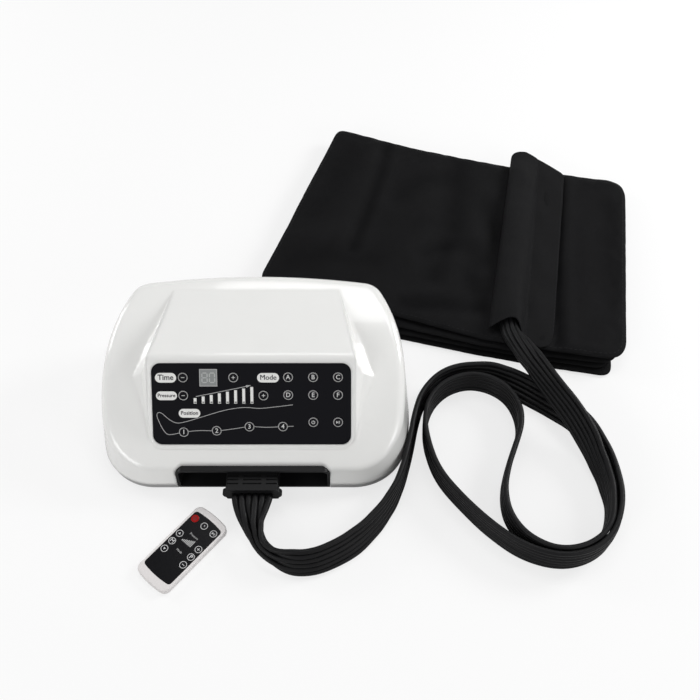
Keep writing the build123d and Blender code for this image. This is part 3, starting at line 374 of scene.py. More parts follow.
# x, y, z in metres and how far the ribbon is turned up from flat, in degrees; past 90 it leans the other way
hoseRoute = [
    (-0.135, -0.210, 0.020, 0), (-0.135, -0.226, 0.020, 5), (-0.1320, -0.2440, 0.017, 25),
    (-0.1235, -0.2610, 0.0151, 55), (-0.1085, -0.2725, 0.0151, 62), (-0.0915, -0.2770, 0.0151, 62),
    (-0.0745, -0.2755, 0.0151, 60), (-0.0585, -0.2690, 0.0151, 60), (-0.0400, -0.2585, 0.0151, 60),
    (-0.0210, -0.2410, 0.0157, 68), (-0.0045, -0.2185, 0.0157, 76), (0.0060, -0.1970, 0.0157, 82),
    (0.0132, -0.1735, 0.0157, 84), (0.0188, -0.1500, 0.0157, 84), (0.0235, -0.1255, 0.0157, 84),
    (0.0320, -0.0980, 0.0157, 84), (0.0540, -0.0730, 0.0157, 84), (0.084, -0.0650, 0.0157, 84),
    (0.1125, -0.0700, 0.0152, 68), (0.140, -0.0860, 0.0112, 34), (0.1675, -0.1045, 0.0115, 40),
    (0.190, -0.126, 0.0145, 58), (0.2070, -0.159, 0.0157, 74), (0.2155, -0.200, 0.0157, 82),
    (0.2105, -0.238, 0.0157, 90), (0.189, -0.2660, 0.0157, 92), (0.155, -0.2765, 0.0157, 94),
    (0.1195, -0.267, 0.0157, 94), (0.0900, -0.2445, 0.0157, 92), (0.0645, -0.2165, 0.0157, 90),
    (0.0435, -0.1880, 0.0157, 90), (0.0345, -0.157, 0.0157, 90), (0.0325, -0.131, 0.0157, 88),
    (0.0385, -0.1065, 0.0157, 86), (0.0560, -0.0860, 0.0157, 86), (0.080, -0.0770, 0.0157, 86),
    (0.1030, -0.0815, 0.0157, 86), (0.1205, -0.0955, 0.0157, 88), (0.1290, -0.1165, 0.0157, 88),
    (0.1285, -0.138, 0.0157, 90), (0.1195, -0.160, 0.0157, 90), (0.1105, -0.184, 0.0157, 90),
    (0.1045, -0.2085, 0.0157, 90), (0.1075, -0.235, 0.0157, 90), (0.1235, -0.2565, 0.0157, 92),
    (0.149, -0.2680, 0.0157, 94), (0.1757, -0.2632, 0.0157, 96), (0.1985, -0.2472, 0.0157, 93),
    (0.2068, -0.2205, 0.0157, 93), (0.2055, -0.195, 0.0165, 102), (0.1990, -0.171, 0.0195, 108),
    (0.1900, -0.147, 0.0268, 117), (0.1760, -0.123, 0.0345, 118), (0.1595, -0.098, 0.0380, 116),
    (0.1450, -0.073, 0.0380, 120), (0.1340, -0.049, 0.036, 140), (0.1262, -0.026, 0.035, 162),
    (0.1255, -0.003, 0.0345, 174), (0.1286, 0.0166, 0.0345, 178),
]


def readRoute():
    curve = bpy.data.curves.new("hoseLine", "CURVE")
    curve.dimensions = "3D"
    spline = curve.splines.new("NURBS")
    spline.points.add(len(hoseRoute) - 1)
    for point, (x, y, z, _) in zip(spline.points, hoseRoute):
        point.co = (x, y, z, 1)
    spline.order_u = 3
    spline.use_endpoint_u = True
    spline.resolution_u = hose["steps"]
    line = bpy.data.objects.new("hoseLine", curve)
    bpy.context.collection.objects.link(line)
    bpy.context.view_layer.update()
    centres = [vertex.co.copy() for vertex in bpy.data.meshes.new_from_object(line).vertices]
    bpy.data.objects.remove(line)
    return centres


# each point of the route rules half a span to both sides of its own place
def leanAt(share):
    spans = len(hoseRoute) - 2
    place = share * spans
    ends = [0] + [i - 0.5 for i in range(1, len(hoseRoute) - 1)] + [spans]
    for i in range(len(ends) - 1):
        if place <= ends[i + 1] or i == len(ends) - 2:
            part = (place - ends[i]) / (ends[i + 1] - ends[i])
            return math.radians(lerp(hoseRoute[i][3], hoseRoute[i + 1][3], ease(part)))


# how far each tube's middle lies across the ribbon and out of it, after so much of the line
def tubeOffsets(walk, length):
    spread, spreadStep, spreadStart = hose["fanSpread"]
    cupPace, cupStart = hose["cupWave"]
    tubes = len(hose["fan"])
    loose = 1 - ease(walk / hose["fanLength"])
    bunch = ease(walk / hose["bunchIn"]) * (1 - ease((walk - hose["bunchFrom"]) / hose["bunchOut"]))
    roll = ease((walk - length + hose["curlFrom"]) / hose["curlLength"]) / hose["curl"]
    wave = sum(math.sin(walk * pace + start) * size for pace, start, size in hose["waves"])
    cup = hose["cup"] * math.sin(walk * cupPace + cupStart)
    offsets = []
    for k, fan in enumerate(hose["fan"]):
        joined = (k - (tubes - 1) / 2) * hose["pitch"]
        offset = lerp(joined, fan, loose) * (1 - hose["bunchNarrow"] * bunch)
        out = (hose["cupLevel"] - (offset / hose["cupWidth"]) ** 2) * cup
        out += wave * hose["waveShare"] * math.sin(k * hose["waveStep"])
        out += loose * (1 - loose) * spread * math.sin(k * spreadStep + spreadStart)
        out += hose["bunch"] * bunch * (1 if k % 2 else -1)
        if roll > 1:
            out += (1 - math.cos(offset * roll)) / roll
            offset = math.sin(offset * roll) / roll
        offsets.append((offset, out))
    return offsets, hose["tubeRadius"] * (1 + hose["plugSwell"] * loose)


def makeHose():
    centres = readRoute()
    last = len(centres) - 1
    walked = [0.0]
    for first, second in zip(centres, centres[1:]):
        walked.append(walked[-1] + (second - first).length)
    turns = [2 * math.pi * j / hose["sides"] for j in range(hose["sides"])]
    points, faces = [], []
    for i, centre in enumerate(centres):
        along = (centres[min(i + 1, last)] - centres[max(i - 1, 0)]).normalized()
        left = Vector((0, 0, 1)).cross(along).normalized()
        lean = leanAt(i / last)
        across = left * math.cos(lean) + along.cross(left) * math.sin(lean)
        outward = along.cross(across)
        offsets, radius = tubeOffsets(walked[i], walked[-1])
        for offset, out in offsets:
            middle = centre + across * offset + outward * out
            points += [middle + (across * math.cos(t) + outward * math.sin(t)) * radius for t in turns]
    sides, row = hose["sides"], len(points) // len(centres)
    rings = [list(range(start, start + sides)) for start in range(0, row, sides)]
    for i in range(last):
        for ring in rings:
            for a, b in zip(ring, ring[1:] + ring[:1]):
                faces.append((i * row + a, i * row + b, (i + 1) * row + b, (i + 1) * row + a))
    for ring in rings:
        faces += [tuple(ring[::-1]), tuple(last * row + a for a in ring)]
    low = min(point.z for point in points)
    print("hose: lowest point", round(low * 1000, 2), "mm, length", round(walked[-1], 4), "m")
    return points, faces, centres, walked[-1]


def hoseFinish():
    finish = Finish("hoseBlack", Specular_IOR_Level=0.12)
    dust = finish.grain(hose["dust"], 4)
    finish.shade(Base_Color=finish.blend(dust, hose["dark"], hose["dusty"]), Roughness=0.33 + dust * 0.2)
    finish.bump(finish.grain(hose["grain"], 3), hose["grainDepth"])
    return finish.material


hosePoints, hoseFaces, hoseCentres, hoseLength = makeHose()
hosePiece = addPiece("hoseRibbon", hosePoints, hoseFaces, hoseFinish(), None)
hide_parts("hose_lead", "hose_run")
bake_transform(hosePiece)

# the cuff: four layers of nylon that are folded on each other, lowest first; lengths in metres
cuff = {
    "size": (0.40, 0.28),  # about; with the step it gives the grid
    "step": 0.006,
    "rimWidth": 0.0075,
    "rimFull": 0.86,  # share of the layer's height that the rim rounds up to
    "frames": 20,
    "pressure": 4,
    "quality": 6,
    "mass": 0.15,
    "pin": 0.6,
    "shrink": -0.02,
    "mostMove": 0.004,
    "heldLeast": 0.1,  # share that is held near the rim; all of it from heldWidth inwards
    "heldWidth": 0.05,
    "seamWidth": 0.010,
    "topRoom": 0.0015,  # that the top layer may rise above its own height
    "foldFade": 0.012,
    "foldLip": (2.1, 0.35),  # beside a fold: how many of its widths out, and what share of its depth up
    "foldShade": 130,
    "ripples": ((17, 0.0016), (55, 0.0005)),  # per metre, height
    "fill": 0.2,
    "hemIn": 0.0045,
    "stitch": (0.0030, 0.0006),
    "stitchPitch": 0.0052,
    "edgeSteps": 900,
    "foldSteps": 60,
    "hemSteps": 400,
    "weave": {"Scale": 520, "Distortion": 1.5},
    "dark": (0.0042, 0.0042, 0.0046),
    "pale": (0.0118, 0.0118, 0.0124),
    "threadDark": (0.005, 0.005, 0.006),
    "threadPale": (0.018, 0.018, 0.019),
}

# corners in mm with the radius of each; the four marked 1 part the sides
cuffLayers = {
    "cuffBottom": {
        "heights": (0.0, 5.4),
        "corners": [
            (-140, 34, 26, 1), (13, -16, 60, 0), (90, -36, 70, 0), (167, -53, 80, 0), (234, -65, 13, 1),
            (256, 80, 400, 0), (276, 194, 22, 1), (148, 222, 200, 0), (-60, 290, 16, 1), (-118, 120, 300, 0),
        ],
    },
    "cuffSecond": {
        "heights": (5.6, 11.0),
        "corners": [
            (-138, 40, 24, 1), (12, -13, 60, 0), (90, -32, 70, 0), (165, -48, 80, 0), (230, -59, 16, 1),
            (254, 80, 400, 0), (270, 192, 24, 1), (146, 219, 200, 0), (-59, 286, 16, 1), (-115, 122, 300, 0),
        ],
    },
    "cuffThird": {
        "heights": (11.3, 17.0),
        "corners": [
            (-145, 45, 22, 1), (11, -8, 60, 0), (95, -32, 70, 0), (160, -46, 80, 0), (240, -57, 24, 1),
            (264, 80, 400, 0), (284, 198, 26, 1), (150, 230, 200, 0), (48, 259, 200, 0), (-58, 297, 14, 1),
            (-110, 140, 300, 0),
        ],
    },
    "cuffTop": {
        "heights": (17.0, 23.5),
        "corners": [
            (-146, 48, 20, 1), (10, 1, 60, 0), (102, -29, 70, 0), (170, -44, 80, 0), (247.5, -57, 27, 1),
            (270, 80, 400, 0), (290.5, 205, 28, 1), (215, 218, 90, 0), (150, 232, 90, 0), (48, 260, 200, 0),
            (-57, 299, 12, 1), (-112, 142, 300, 0),
        ],
    },
}

# soft grooves in the top layer, in mm: the way of each, how deep and how wide
cuffFolds = [
    ([(7, 278), (-5, 216), (-24, 148), (-39, 100)], 3.8, 6.5),
    ([(94, 246), (86, 186), (77, 136), (73, 104)], 3.2, 14),
    ([(46, 92), (63, 99), (60, 76), (50, 56)], 2.8, 10),
    ([(16, 19), (61, 16), (106, 10)], 3.0, 8),
    ([(214, 228), (205, 170), (192, 90), (176, -40)], 4.6, 6),
    ([(-104, 82), (-60, 90), (-16, 80)], 1.8, 16),
    ([(100, 24), (90, 60), (94, 96)], 2.2, 11),
    ([(20, 180), (40, 202), (72, 208)], 1.8, 12),
    ([(-40, 250), (-60, 200), (-84, 150)], 1.6, 15),
    ([(120, 160), (128, 120), (112, 80)], 2.0, 12),
    ([(244, 20), (250, 90), (262, 160)], 1.4, 13),
]

# points of one stitch: along, across and up, in halves of its length, halves and wholes of its thickness
stitchShape = [
    (-1, 0, -0.24), (-0.6, 1, 0), (0.6, 1, 0), (1, 0, -0.24), (0.6, -1, 0), (-0.6, -1, 0), (0, 0, 0.6),
]


# the outline with rounded corners; a corner takes up no more than this share of a side
def roundedLoop(corners, steps=6, most=0.45):
    loop, marks = [], []
    for i, (x, y, radius, marked) in enumerate(corners):
        here = Vector((x, y)) / 1000
        back = Vector(corners[i - 1][:2]) / 1000 - here
        ahead = Vector(corners[(i + 1) % len(corners)][:2]) / 1000 - here
        half = back.angle(ahead) / 2
        reach = min(radius / 1000 / math.tan(half), most * min(back.length, ahead.length))
        start, end = here + back.normalized() * reach, here + ahead.normalized() * reach
        if marked:
            marks.append(len(loop) + steps // 2)
        for k in range(steps + 1):
            share = k / steps
            loop.append(start * (1 - share) ** 2 + here * 2 * share * (1 - share) + end * share ** 2)
    return loop, marks


def evenly(line, count):
    lengths = [0.0]
    for first, second in zip(line, line[1:]):
        lengths.append(lengths[-1] + (second - first).length)
    spots, j = [], 0
    for i in range(count + 1):
        goal = lengths[-1] * i / count
        while j < len(line) - 2 and lengths[j + 1] < goal:
            j += 1
        span = max(1e-9, lengths[j + 1] - lengths[j])
        spots.append(line[j].lerp(line[j + 1], (goal - lengths[j]) / span))
    return spots


def layerEdge(corners, count):
    loop = roundedLoop(corners)[0]
    return evenly(loop + loop[:1], count)


def layerSides(corners):
    loop, marks = roundedLoop(corners)
    sides = []
    for i, mark in enumerate(marks):
        last = marks[(i + 1) % len(marks)]
        sides.append(loop[mark:last + 1] if last > mark else loop[mark:] + loop[:last + 1])
    return sides


# points between the four sides, counted across first
def layerGrid(corners, across, along):
    front, right, rear, left = layerSides(corners)
    front, rear = evenly(front, across), evenly(rear[::-1], across)
    left, right = evenly(left[::-1], along), evenly(right, along)
    spots = []
    for j in range(along + 1):
        v = j / along
        for i in range(across + 1):
            u = i / across
            spot = front[i] * (1 - v) + rear[i] * v + left[j] * (1 - u) + right[j] * u
            twice = front[0] * (1 - u) * (1 - v) + front[-1] * u * (1 - v) + rear[0] * (1 - u) * v
            spots.append(spot - (twice + rear[-1] * u * v))
    return spots


def gridFaces(across, along):
    width = across + 1
    starts = [j * width + i for j in range(along) for i in range(across)]
    return [(a, a + 1, a + 1 + width, a + width) for a in starts]


def gridRim(across, along):
    width = across + 1
    front = list(range(width))
    right = [j * width + across for j in range(1, along + 1)]
    rear = [along * width + i for i in range(across - 1, -1, -1)]
    left = [j * width for j in range(along - 1, 0, -1)]
    return front + right + rear + left


def flatTree(spots):
    tree = kdtree.KDTree(len(spots))
    for i, spot in enumerate(spots):
        tree.insert((spot[0], spot[1], 0), i)
    tree.balance()
    return tree


# gives how far a spot is from the line
def nearness(line):
    tree = flatTree(line)
    return lambda spot: tree.find((spot[0], spot[1], 0))[2]


# gives the height of the piece's upper side at a spot
def surfaceOf(piece):
    spots = [vertex.co.copy() for vertex in piece.data.vertices]
    tree = flatTree(spots)
    return lambda spot: max(spots[index].z for _, index, _ in tree.find_n((spot[0], spot[1], 0), 8))


def foldDepth(spot, folds):
    lipPlace, lip = cuff["foldLip"]
    sunk = 0
    for reach, depth, width in folds:
        away = reach(spot) * 1000 / width
        sunk -= depth * math.exp(-away * away)
        sunk += depth * lip * math.exp(-((away - lipPlace) ** 2))
    return sunk / 1000


# air pressure between the two sheets of a layer; the middle is held and the rim puffs and puckers
def puff(piece, weights, low, high):
    rest = [vertex.co.copy() for vertex in piece.data.vertices]
    held = piece.vertex_groups.new(name="held")
    for index, weight in enumerate(weights):
        held.add([index], weight, "REPLACE")
    cloth = piece.modifiers.new("cloth", "CLOTH")
    cloth.settings.quality = cuff["quality"]
    cloth.settings.mass = cuff["mass"]
    cloth.settings.vertex_group_mass = "held"
    cloth.settings.pin_stiffness = cuff["pin"]
    cloth.settings.use_pressure = True
    cloth.settings.uniform_pressure_force = cuff["pressure"]
    cloth.settings.shrink_min = cuff["shrink"]
    cloth.settings.effector_weights.gravity = 0
    cloth.point_cache.frame_end = cuff["frames"]
    for frameNumber in range(1, cuff["frames"] + 1):
        bpy.context.scene.frame_set(frameNumber)
    moved = piece.evaluated_get(bpy.context.evaluated_depsgraph_get()).data
    for vertex, after, before in zip(piece.data.vertices, moved.vertices, rest):
        move = after.co - before
        spot = before + move * (cuff["mostMove"] / (cuff["mostMove"] + move.length))
        spot.z = min(high, max(low, spot.z))
        vertex.co = spot
    piece.modifiers.remove(cloth)
    bpy.context.scene.frame_set(1)


def soften(piece):
    piece.modifiers.new("smooth", "SUBSURF").levels = 1
    made = bpy.data.meshes.new_from_object(piece.evaluated_get(bpy.context.evaluated_depsgraph_get()))
    piece.modifiers.clear()
    old = piece.data
    piece.data = made
    bpy.data.meshes.remove(old)


def makeLayer(name, facts, finish):
    low, high = (level / 1000 for level in facts["heights"])
    middle, half = (low + high) / 2, (high - low) / 2
    across, along = (round(size / cuff["step"]) for size in cuff["size"])
    spots = layerGrid(facts["corners"], across, along)
    edge = nearness(layerEdge(facts["corners"], cuff["edgeSteps"]))
    steps = cuff["foldSteps"]
    folds = [(nearness(evenly(metres(way), steps)), depth, width) for way, depth, width in cuffFolds]
    top = name == "cuffTop"
    points, weights, sink = [], [], []
    for side in (1, -1):
        for spot in spots:
            reach = edge(spot)
            rim = 1 - min(1, reach / cuff["rimWidth"])
            bulge = half * math.sqrt(1 - rim ** 2) * cuff["rimFull"]
            points.append((spot.x, spot.y, middle + side * bulge))
            held = lerp(cuff["heldLeast"], 1, ease(reach / cuff["heldWidth"]))
            weights.append(max(held, 1 - reach / cuff["seamWidth"]))
            folded = top and side == 1
            sink.append(foldDepth(spot, folds) * ease(reach / cuff["foldFade"]) if folded else 0)
    total = len(spots)
    faces = []
    for a, b, c, d in gridFaces(across, along):
        faces += [(a, b, c, d), (d + total, c + total, b + total, a + total)]
    ring = gridRim(across, along)
    faces += [(a + total, b + total, b, a) for a, b in zip(ring, ring[1:] + ring[:1])]
    layer = addPiece(name, points, faces, finish, None)
    puff(layer, weights, low, high + (cuff["topRoom"] if top else 0))
    # painted shade: the fold attribute is high in the folds and low on the lips beside them, and the nylon's
    # colour follows it
    creaseShade = layer.data.attributes.new("fold", "FLOAT", "POINT")
    for vertex, mark, drop in zip(layer.data.vertices, creaseShade.data, sink):
        mark.value = 0.5 - drop * cuff["foldShade"]
        if top:
            ripple = sum(noise.noise(Vector(vertex.co) * pace) * size for pace, size in cuff["ripples"])
            vertex.co.z += drop + ripple
    soften(layer)
    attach(layer, "set")
    return layer


# woven nylon: the fold attribute paints shade into its colour, darker along the folds where the attribute is
# high and paler on the lips beside them where it is low; it is also paler where it is rubbed
def nylonFinish():
    finish = Finish("cuffNylon", Specular_IOR_Level=0.02)
    threads = dict(cuff["weave"], Vector=finish.node("TexCoord", output="Object"))
    warp, weft = (finish.node("TexWave", {"bands_direction": way}, threads) for way in ("X", "Y"))
    rub = finish.grain(0.05, 5)
    fine = finish.grain(0.0014, 3)
    fold = finish.node("Attribute", {"attribute_name": "fold"}, output=2)
    # painted shade from the fold attribute, mixed with paler rubbed wear
    rubAndCreaseShade = fold * -0.75 + rub * 0.55 + 0.6
    finish.shade(Base_Color=finish.blend(rubAndCreaseShade, cuff["dark"], cuff["pale"]))
    finish.shade(Roughness=0.42 + rub * 0.2 + fine * 0.06)
    finish.bump(warp * 0.5 + weft * 0.5 + fine * 0.8, 0.00009)
    return finish.material


def threadFinish():
    finish = Finish("cuffThread", Specular_IOR_Level=0.1, Sheen_Weight=0.05)
    twist = finish.grain(0.0005)
    finish.shade(Base_Color=finish.blend(twist, cuff["threadDark"], cuff["threadPale"]))
    finish.shade(Roughness=0.6 + twist * 0.2)
    finish.bump(twist, 0.00005)
    return finish.material


# rows of short stitches that follow the lines and lie on the surface whose height is given
def addStitches(name, lines, height, finish):
    length, thick = cuff["stitch"]
    points, faces = [], []
    for line in lines:
        total = sum((second - first).length for first, second in zip(line, line[1:]))
        count = int(total / cuff["stitchPitch"])
        spots = evenly(line, count * 2)
        for middle, after in zip(spots[:-1:2], spots[1::2]):
            way = (after - middle).normalized()
            side = Vector((-way.y, way.x))
            rim = len(points)
            peak = rim + len(stitchShape) - 1
            lift = height(middle)
            for along, out, up in stitchShape:
                spot = middle + way * (along * length / 2) + side * (out * thick / 2)
                points.append((spot.x, spot.y, lift + up * thick))
            ring = list(range(rim, peak))
            faces += [(peak, b, a) for a, b in zip(ring, ring[1:] + ring[:1])]
    print(name + ":", len(points) // len(stitchShape), "stitches")
    return addPiece(name, points, faces, finish, "set")


# the layer's outline, drawn in to where its hem is sewn
def hemLine(corners):
    loop = layerEdge(corners, cuff["hemSteps"])
    centre = sum(loop, Vector((0, 0))) / len(loop)
    line = []
    for i, spot in enumerate(loop):
        way = (loop[(i + 1) % len(loop)] - loop[i - 1]).normalized()
        inward = Vector((-way.y, way.x))
        if inward.dot(centre - spot) < 0:
            inward.negate()
        line.append(spot + inward * cuff["hemIn"])
    return line


nylon = nylonFinish()
thread = threadFinish()
layers = {name: makeLayer(name, facts, nylon) for name, facts in cuffLayers.items()}
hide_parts("cuff_lower")
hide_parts("cuff_upper")
hem = hemLine(cuffLayers["cuffTop"]["corners"])
addStitches("cuffHemStitches", [hem], surfaceOf(layers["cuffTop"]), thread)
print("cuff: layers", len(layers))

# the sleeve: one sheet that arches over the hose and runs on as a flap; its ends in mm, the rest in metres
sleeve = {
    "front": [
        (105, -17), (107, -20), (115, -18), (125, -15), (133, -15), (137, -20), (140, -29), (147, -37),
        (157, -42), (166, -40), (172, -32), (175, -21),
    ],
    "rear": [
        (155, 240), (156, 244), (160, 248), (166, 250), (174, 250), (181, 246), (186, 243), (194, 237),
        (202, 230), (209, 223), (214, 218), (217, 212),
    ],
    "tube": 0.50,  # share of the width that arches, from the left
    "height": 0.0175,
    "rearHeight": (0.72, 0.45),  # share of the height that is left, and by what share of the length
    "shut": (0.62, 0.8, 0.2),  # how far the rear end is pressed down, from where and over what share
    "wavy": (0.05, 21, 1),  # how far the height comes and goes, its pace and start
    "boxy": 0.6,  # power of the arch: 1 is a plain arch, less is fuller
    "skew": (0.72, 0.25, 0.3),  # the arch leans left by this power and drops at its right, from this share on
    "flapWave": (0.0005, 26, 5, 6),  # height, pace along and across, and how soon it starts beside the tube
    "puckers": (((1, 1, 45), 0.3, 0.0011), ((0.4, 1.6, 60), 0.7, 0.0008)),  # stretch and pace, seed, height
    "puckerLeast": 0.3,
    "puckerRise": 50,
    "sheet": 0.0018,
    "flat": (0.080, 0.266),  # width and length that the cloth is cut to
    "base": 0.0248,
    "across": 44,
    "along": 56,
    "seams": (0.955, 0.52),
    "seamSteps": 40,
}


# how far the sheet stands up, at a share of its width and of its length
def sleeveLift(u, v):
    if u >= sleeve["tube"]:
        return 0.0
    span = u / sleeve["tube"]
    rear, rearBy = sleeve["rearHeight"]
    shut, shutFrom, shutOver = sleeve["shut"]
    wavy, pace, start = sleeve["wavy"]
    power, drop, skewBy = sleeve["skew"]
    full = lerp(1, rear, ease(v / rearBy)) * (1 - shut * ease((v - shutFrom) / shutOver))
    full += wavy * math.sin(v * pace + start) * v * (1 - v) * 4
    skew = ease(v / skewBy)
    arch = math.sin(math.pi * span ** lerp(1, power, skew))
    return sleeve["height"] * full * arch ** sleeve["boxy"] * (1 - drop * skew * span)


def sleevePoint(front, rear, u, v):
    spot = front.lerp(rear, v)
    lift = sleeveLift(u, v)
    pucker = 0
    for (wide, long, pace), seed, size in sleeve["puckers"]:
        pucker += noise.noise(Vector((spot.x * wide, spot.y * long, seed)) * pace) * size
    wave, along, across, soon = sleeve["flapWave"]
    flap = wave * math.sin(v * along + u * across) * ease((u - sleeve["tube"]) * soon)
    rise = lift + pucker * (sleeve["puckerLeast"] + lift * sleeve["puckerRise"]) + flap
    return (spot.x, spot.y, sleeve["base"] + rise)


def makeSleeve(finish):
    across, along = sleeve["across"], sleeve["along"]
    front, rear = evenly(metres(sleeve["front"]), across), evenly(metres(sleeve["rear"]), across)
    points = [
        sleevePoint(front[i], rear[i], i / across, j / along)
        for j in range(along + 1) for i in range(across + 1)
    ]
    piece = addPiece("hoseSleeve", points, gridFaces(across, along), finish, None)
    print("sleeve cloth:", round(sum(face.area for face in piece.data.polygons), 5), "square metres")
    thick = piece.modifiers.new("thick", "SOLIDIFY")
    thick.thickness = sleeve["sheet"]
    thick.offset = -1
    thick.use_even_offset = True
    soften(piece)
    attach(piece, "set")
    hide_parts("hose_sleeve")
    seams, steps = [], sleeve["seamSteps"]
    for share in sleeve["seams"]:
        index = round(share * across)
        seams.append([front[index].lerp(rear[index], k / steps) for k in range(1, steps)])
    return piece, seams


sleevePiece, sleeveSeams = makeSleeve(nylon)
sleeveStitches = addStitches("sleeveStitches", sleeveSeams, surfaceOf(sleevePiece), thread)
print("sleeve made")

# printed marks on the panel and the remote: thin raised shapes and plain lettering, all in mm
marks = {
    "panelOrigin": (-135, -143.586, 75.739),
    "panelTilt": math.radians(44),
    "panelInk": -1.3,  # heights where the print starts, from the origin
    "keyInk": -1.1,
    "lensInk": -1.3,
    "remoteOrigin": (-198.5, -258.5, 0),
    "remoteTurn": math.radians(-40.3),
    "remoteInk": 7.0,
    "remoteKeyInk": 7.3,
    "thick": 0.12,
    "bold": 0.012,  # how far a letter's edge moves out, as a share of its size
    "keyRing": (4.3, 3.9),
    "keySign": 3.2,
    "remoteRing": (3.5, 3.0),
    "remoteSign": 2.9,
    "remotePower": 3.4,
    "remoteWord": 2.9,
}


def placed(origin, turn, axis):
    return Matrix.Translation(Vector(origin) / 1000) @ Matrix.Rotation(turn, 4, axis)


panelFrame = placed(marks["panelOrigin"], marks["panelTilt"], "X")
remoteFrame = placed(marks["remoteOrigin"], marks["remoteTurn"], "Z")


# gathers flat shapes that start at one height and have the marks' thickness
class Ink:
    def __init__(self, height, at=(0, 0)):
        self.height = height
        self.at = at
        self.points = []
        self.faces = []

    def put(self, x, y, lift):
        self.points.append((self.at[0] + x, self.at[1] + y, self.height + lift))

    def add(self, outline, hole=None):
        base, count = len(self.points), len(outline)
        loops = [outline, hole] if hole else [outline]
        for lift in (0, marks["thick"]):
            for loop in loops:
                for x, y in loop:
                    self.put(x, y, lift)
        up = count * len(loops)  # from a low point to the one above it
        ring = list(range(base, base + count))
        sides = list(zip(ring, ring[1:] + ring[:1]))
        self.faces += [(a, b, b + up, a + up) for a, b in sides]
        if hole:
            for a, b in sides:
                c, d = a + count, b + count
                self.faces += [(c, d, b, a), (a + up, b + up, d + up, c + up), (c, c + up, d + up, d)]
        else:
            self.faces += [tuple(ring[::-1]), tuple(a + up for a in ring)]

    def ring(self, outer, inner, sides=40):
        turns = [2 * math.pi * k / sides for k in range(sides)]
        self.add(*([(reach * math.cos(t), reach * math.sin(t)) for t in turns] for reach in (outer, inner)))

    def box(self, left, low, right, high):
        self.add([(left, low), (right, low), (right, high), (left, high)])

    def pill(self, middle, width, height, sides=14):
        half, reach = height / 2, width / 2 - height / 2
        outline = []
        for way, start in ((1, -math.pi / 2), (-1, math.pi / 2)):
            for k in range(sides + 1):
                turn = start + math.pi * k / sides
                x, y = way * reach + half * math.cos(turn), half * math.sin(turn)
                outline.append((middle[0] + x, middle[1] + y))
        self.add(outline)

    # a line of even width through the points
    def stroke(self, way, width):
        left, right = [], []
        for i, (x, y) in enumerate(way):
            before, after = way[max(0, i - 1)], way[min(len(way) - 1, i + 1)]
            dx, dy = after[0] - before[0], after[1] - before[1]
            size = math.hypot(dx, dy) * 2 / width
            left.append((x - dy / size, y + dx / size))
            right.append((x + dy / size, y - dx / size))
        self.add(left + right[::-1])

    def word(self, text, middle, size, bold=0.0):
        curve = bpy.data.curves.new("letters", "FONT")
        curve.body = text
        curve.size = size / 1000
        curve.align_x = "CENTER"
        curve.align_y = "CENTER"
        curve.extrude = marks["thick"] / 2000
        curve.offset = size / 1000 * bold
        curve.resolution_u = 3
        line = bpy.data.objects.new("letters", curve)
        bpy.context.collection.objects.link(line)
        bpy.context.view_layer.update()
        mesh = bpy.data.meshes.new_from_object(line)
        base = len(self.points)
        for vertex in mesh.vertices:
            x, y, z = vertex.co * 1000
            self.put(middle[0] + x, middle[1] + y, marks["thick"] / 2 + z)
        self.faces += [tuple(base + index for index in face.vertices) for face in mesh.polygons]
        bpy.data.objects.remove(line)

    def make(self, name, place, finish, body, slot):
        points = [place @ point for point in metres(self.points)]
        return addPiece(name, points, self.faces, finishes[finish], body, smooth=False)


# a smooth curve through the points: a, b, c and d are four in a row, and it runs from b to c
def smoothWay(points, steps=6):
    ends = [points[0]] + points + [points[-1]]
    way = []
    for four in zip(ends, ends[1:], ends[2:], ends[3:]):
        for t in [k / steps for k in range(steps)]:
            way.append(tuple(
                b + t / 2 * (c - a + t * (2 * a - 5 * b + 4 * c - d + t * (3 * (b - c) + d - a)))
                for a, b, c, d in zip(*four)
            ))
    return way + [points[-1]]


def plusShape(long, thin):
    quarter = [(thin, -long), (thin, -thin), (long, -thin)]
    shape = []
    for _ in range(4):
        shape += quarter
        quarter = [(-y, x) for x, y in quarter]
    return shape


# a sign or letter; the numbers are shares of its size
def drawSign(ink, sign, size):
    if sign == "-":
        ink.box(-size * 0.5, -size * 0.09, size * 0.5, size * 0.09)
    elif sign == "+":
        ink.add(plusShape(size * 0.5, size * 0.09))
    elif sign == "power":
        turns = [0.6 + k * 0.265 for k in range(20)]
        ink.stroke([(math.sin(t) * size * 0.46, math.cos(t) * size * 0.46) for t in turns], size * 0.15)
        ink.box(-size * 0.075, 0, size * 0.075, size * 0.58)
    elif sign == "clock":
        ink.stroke([(0, size * 0.42), (0, 0), (size * 0.36, -size * 0.1)], size * 0.16)
    elif sign in ("up", "down"):
        way = size if sign == "up" else -size
        ink.add([(-0.42 * way, -0.28 * way), (0.42 * way, -0.28 * way), (0, 0.42 * way)])
    elif sign == "play":
        ink.add([(-size * 0.55, -size * 0.42), (size * 0.08, 0), (-size * 0.55, size * 0.42)])
        for left in (0.16, 0.40):
            ink.box(left * size, -size * 0.4, (left + 0.12) * size, size * 0.4)
    else:
        ink.word(sign, (0, 0), size * 1.9, 0.0 if sign == "M" else marks["bold"])


# the panel's words: middle, width and height of the pill, size of the letters and how bold they are
pills = {
    "Time": ((-80.6, 25.2), 20.0, 9.3, 7.2, 0.018),
    "Pressure": ((-80.2, 7.9), 19.8, 8.4, 4.8, 0.016),
    "Mode": ((15.9, 25.2), 20.7, 9.0, 6.8, 0.0),
    "Position": ((-58.9, -9.0), 20.4, 8.5, 5.1, 0.016),
}

